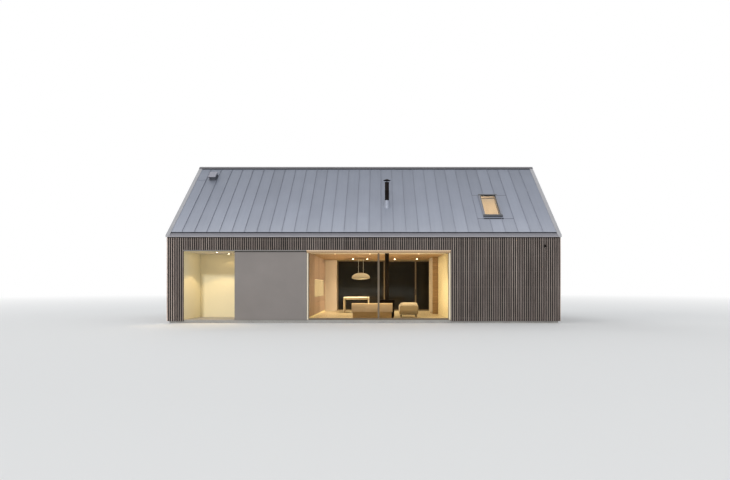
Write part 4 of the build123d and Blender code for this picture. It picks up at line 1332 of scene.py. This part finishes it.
def downlights():
    """Each ceiling lamp as a flanged ring round a recessed diffuser."""
    rings, lamps, bright, soft = Shape(), Shape(), Shape(), Shape()
    z = CEILING
    profile = [(0.034, z - 0.002), (0.036, z - 0.005), (0.043, z - 0.007), (0.045, z - 0.005)]
    profile += [(0.045, z), (0.034, z), profile[0]]
    for centre in downlight_centres():
        lens, drop = (lamps if centre[0] < PORCH_RIGHT else soft), 0.012
        if centre[1] > 0:
            lens, drop = bright, 0.024
        rings.lathe(profile, centre, 32)
        dome = [(0, z - drop), (0.026, z - drop + 0.001), (0.0345, z - drop + 0.006), (0.0345, z - 0.001)]
        lens.lathe(dome + [(0, z - 0.001)], centre, 32)
    rings.piece("downlight_rings", WHITE_METAL, "lamp_light", smooth=40)
    lamps.piece("downlight_lamps", LAMP, "lamp_light", "downlights", smooth=40)
    bright.piece("downlight_lamps_rear", BRIGHT_LAMP, "lamp_light", smooth=40)
    soft.piece("downlight_lamps_front", SOFT_LAMP, "lamp_light", smooth=40)


def downlight_centres():
    """The middles of the lamps, read from their CAD node."""
    points = np.unique(np.round(vertices("downlights")[:, :2], 4), axis=0)
    centres = []
    while len(points):
        near = np.hypot(*(points - points[0]).T) < 0.10
        group = points[near]
        centres.append(tuple((group.min(axis=0) + group.max(axis=0)) / 2))
        points = points[~near]
    return centres


def wall_lamp():
    """The small lamp housing on the facade, with a lens in its underside and a back plate."""
    (x0, y0, z0), (x1, y1, z1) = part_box("wall_lamp")
    body, lens = Shape(), Shape()
    body.box((x0, y0, z0 + 0.004), (x1, y1 - 0.005, z1), 0.008)
    body.box((x0 + 0.006, y1 - 0.006, z0 + 0.008), (x1 - 0.006, y1, z1 - 0.008), 0.002)
    for x in (x0 + 0.014, x1 - 0.014):
        body.rod(0.004, z0, z0 + 0.006, (x, y0 + 0.02))
    middle = (x0 + x1) / 2
    lens.box((middle - 0.016, y0 + 0.008, z0 + 0.001), (middle + 0.016, y1 - 0.014, z0 + 0.006), 0.002)
    body.piece("wall_lamp_body", BLACK, "black_steel", "wall_lamp", smooth=40)
    lens.piece("wall_lamp_lens", WHITE_METAL, "lamp_light", smooth=40)


# Camera, light and stage


def camera():
    """A level camera at eye height in front of the house."""
    data = bpy.data.cameras.new("camera")
    data.lens, data.sensor_width, data.clip_end = 24, 36, 500
    data.shift_x, data.shift_y = -0.0185, 0.0616
    eye = new_object("camera", data)
    eye.location = (0.572, -22.35, 1.48)
    eye.rotation_euler = (math.pi / 2, 0, 0)
    bpy.context.scene.camera = eye


def add_lamp(name, kind, place, power, colour, turned=(0, 0, 0), **settings):
    """A lamp, turned by degrees. Only a sun shows in gloss and glass."""
    data = bpy.data.lights.new(name, kind)
    data.energy, data.color = power, colour
    for setting, value in settings.items():
        setattr(data, setting, value)
    lamp = new_object(name, data)
    lamp.location = place
    lamp.rotation_euler = [math.radians(angle) for angle in turned]
    lamp.visible_camera = False
    lamp.visible_glossy = lamp.visible_transmission = kind == "SUN"


def area_lamp(name, place, size, power, colour, turned=(0, 0, 0)):
    add_lamp(name, "AREA", place, power, colour, turned, shape="RECTANGLE", size=size[0], size_y=size[1])


def spot_lamp(name, place, power, cone, colour):
    """A round spot that shines straight down, its cone in degrees."""
    cone = math.radians(cone)
    add_lamp(name, "SPOT", place, power, colour, spot_size=cone, spot_blend=0.25, shadow_soft_size=0.035)


def sun(name, power, spread, turned, colour=(1, 1, 1)):
    """Light from one side of the sky: its spread, tilt and turn in degrees."""
    add_lamp(name, "SUN", (0, 0, 0), power, colour, (turned[0], 0, turned[1]), angle=math.radians(spread))


def lamps():
    """Warm lamps in the rooms, and a soft key on the facade."""
    warm, room = (1.0, 0.74, 0.42), (1.0, 0.785, 0.50)
    x = (LIVING_LEFT + LIVING_RIGHT) / 2
    table_low, table_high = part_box("pendant_lamp")
    table = ((table_low.x + table_high.x) / 2, (table_low.y + table_high.y) / 2, table_low.z - 0.02)
    porch = ((PORCH_LEFT + PORCH_RIGHT) / 2, (-CORE_Y + PORCH_BACK) / 2, CEILING - 0.03)
    area_lamp("living_down", (x, 0, CEILING - 0.03), (4.6, 5.4), 82, room)
    area_lamp("living_up", (x, -1.6, FLOOR + 0.3), (4.6, 2.2), 45, room, (180, 0, 0))
    area_lamp("living_front", (x + 0.4, -3.1, 1.5), (3.8, 0.9), 62, room, (66, 0, 0))
    area_lamp("kitchen_wash", (LIVING_LEFT + 1.2, 0.6, CEILING - 0.05), (0.3, 3.2), 26, room, (0, 50, 0))
    area_lamp("pendant_down", table, (0.7, 0.7), 92, room)
    area_lamp("porch_down", porch, (1.7, 1.3), 2.8, warm)
    attic_place = (PANE_RIGHT + 0.3, -0.7, ATTIC + 0.5)
    area_lamp("attic_glow", attic_place, (2.4, 4.6), 50, (1.0, 0.77, 0.56), (180, 0, 0))
    porch_powers, porch_cone, rear_spot, front_spot = (94, 5), 107, (105, 74), (22, 96)
    porch_spots = sorted(point for point in downlight_centres() if point[0] < PORCH_RIGHT)
    for (x, y), power in zip(porch_spots, porch_powers):
        spot_lamp("porch_spot", (x, y, CEILING - 0.02), power, porch_cone, warm)
    for x, y in downlight_centres():
        if x > PORCH_RIGHT:
            spot_lamp("room_spot", (x, y, CEILING - 0.03), *(rear_spot if y > 0 else front_spot), room)
    sun("back", 0.5, 30, (-55, 30))
    sun("key", 1.3, 5, (64, -4))
    sun("glow", 0.5, 40, (72, -75), (1.0, 0.93, 0.86))


def world():
    """Even light from all round, with a white surround where the view, gloss or glass meets it.
    What reaches it only after many turns, as from inside the rooms, finds dusk."""
    sky = bpy.data.worlds.new("surround")
    bpy.context.scene.world = sky
    sky.use_nodes = True
    tree = sky.node_tree
    tree.nodes.clear()

    def maths(operation, *values):
        return add_node(tree, "Math", *values, operation=operation).outputs[0]

    day, dusk, turns = 0.52, 0.10, 5.5
    path = add_node(tree, "LightPath").outputs
    early = maths("LESS_THAN", path["Ray Depth"], turns)
    mirrored = maths("MULTIPLY", maths("MAXIMUM", path["Is Glossy Ray"], path["Is Transmission Ray"]), early)
    even = add_node(tree, "Background", (0.93, 0.96, 1.0), maths("MULTIPLY_ADD", early, day, dusk))
    white = add_node(tree, "Background", (1, 1, 1))
    seen = maths("MAXIMUM", path["Is Camera Ray"], mirrored)
    mix = add_node(tree, "MixShader", seen, even.outputs[0], white.outputs[0])
    add_node(tree, "OutputWorld", mix.outputs[0])


def stage():
    """A wide pale floor that fades into the white surround far from the house."""
    look = Look("pale_floor", 0.95, Base_Color=(0.80, 0.80, 0.79), Specular_IOR_Level=0.1)
    near, far, reach = 16.0, 60.0, 220.0
    distance = look.node("VectorMath", look.place, operation="LENGTH").outputs["Value"]
    fade = look.node("MapRange", distance, From_Min=near, From_Max=far).outputs[0]
    mix = look.node("MixShader", fade, look.shader.outputs[0], look.node("Emission").outputs[0])
    feed(look.tree.nodes["Material Output"].inputs[0], mix.outputs[0])
    mesh = bpy.data.meshes.new("stage_floor")
    corners = [(-reach, -reach, 0), (reach, -reach, 0), (reach, reach, 0), (-reach, reach, 0)]
    mesh.from_pydata(corners, [], [(0, 1, 2, 3)])
    mesh.materials.append(look.material)
    new_object("stage_floor", mesh)


camera()
world()
lamps()
stage()
bpy.context.scene.view_settings.view_transform = "Standard"

cladding("front", -1, (PORCH_LEFT, LIVING_RIGHT))
cladding("rear", 1, (REAR_LEFT, LIVING_RIGHT))
cladding("gable_left", -1)
cladding("gable_right", 1)
front_sheet()
roof_sheet("rear", on_rear).piece("roof_pans_rear", ZINC, "roof_zinc", "roof_sheet_rear", smooth=24)
eaves()
ridge()
verges()
roof_window()
roof_vent()
attic()
flue()
window("front", FRAME_METAL, CLEAR_GLASS)
window("rear", FRAME_METAL, DARK_GLASS)
front_casing()
terrace_pull()
shell()
floors()
ceiling()
kitchen()
cupboard()
entrance_door()
armchair()
cabinet()
stove()
dining_table()
pendant()
downlights()
wall_lamp()
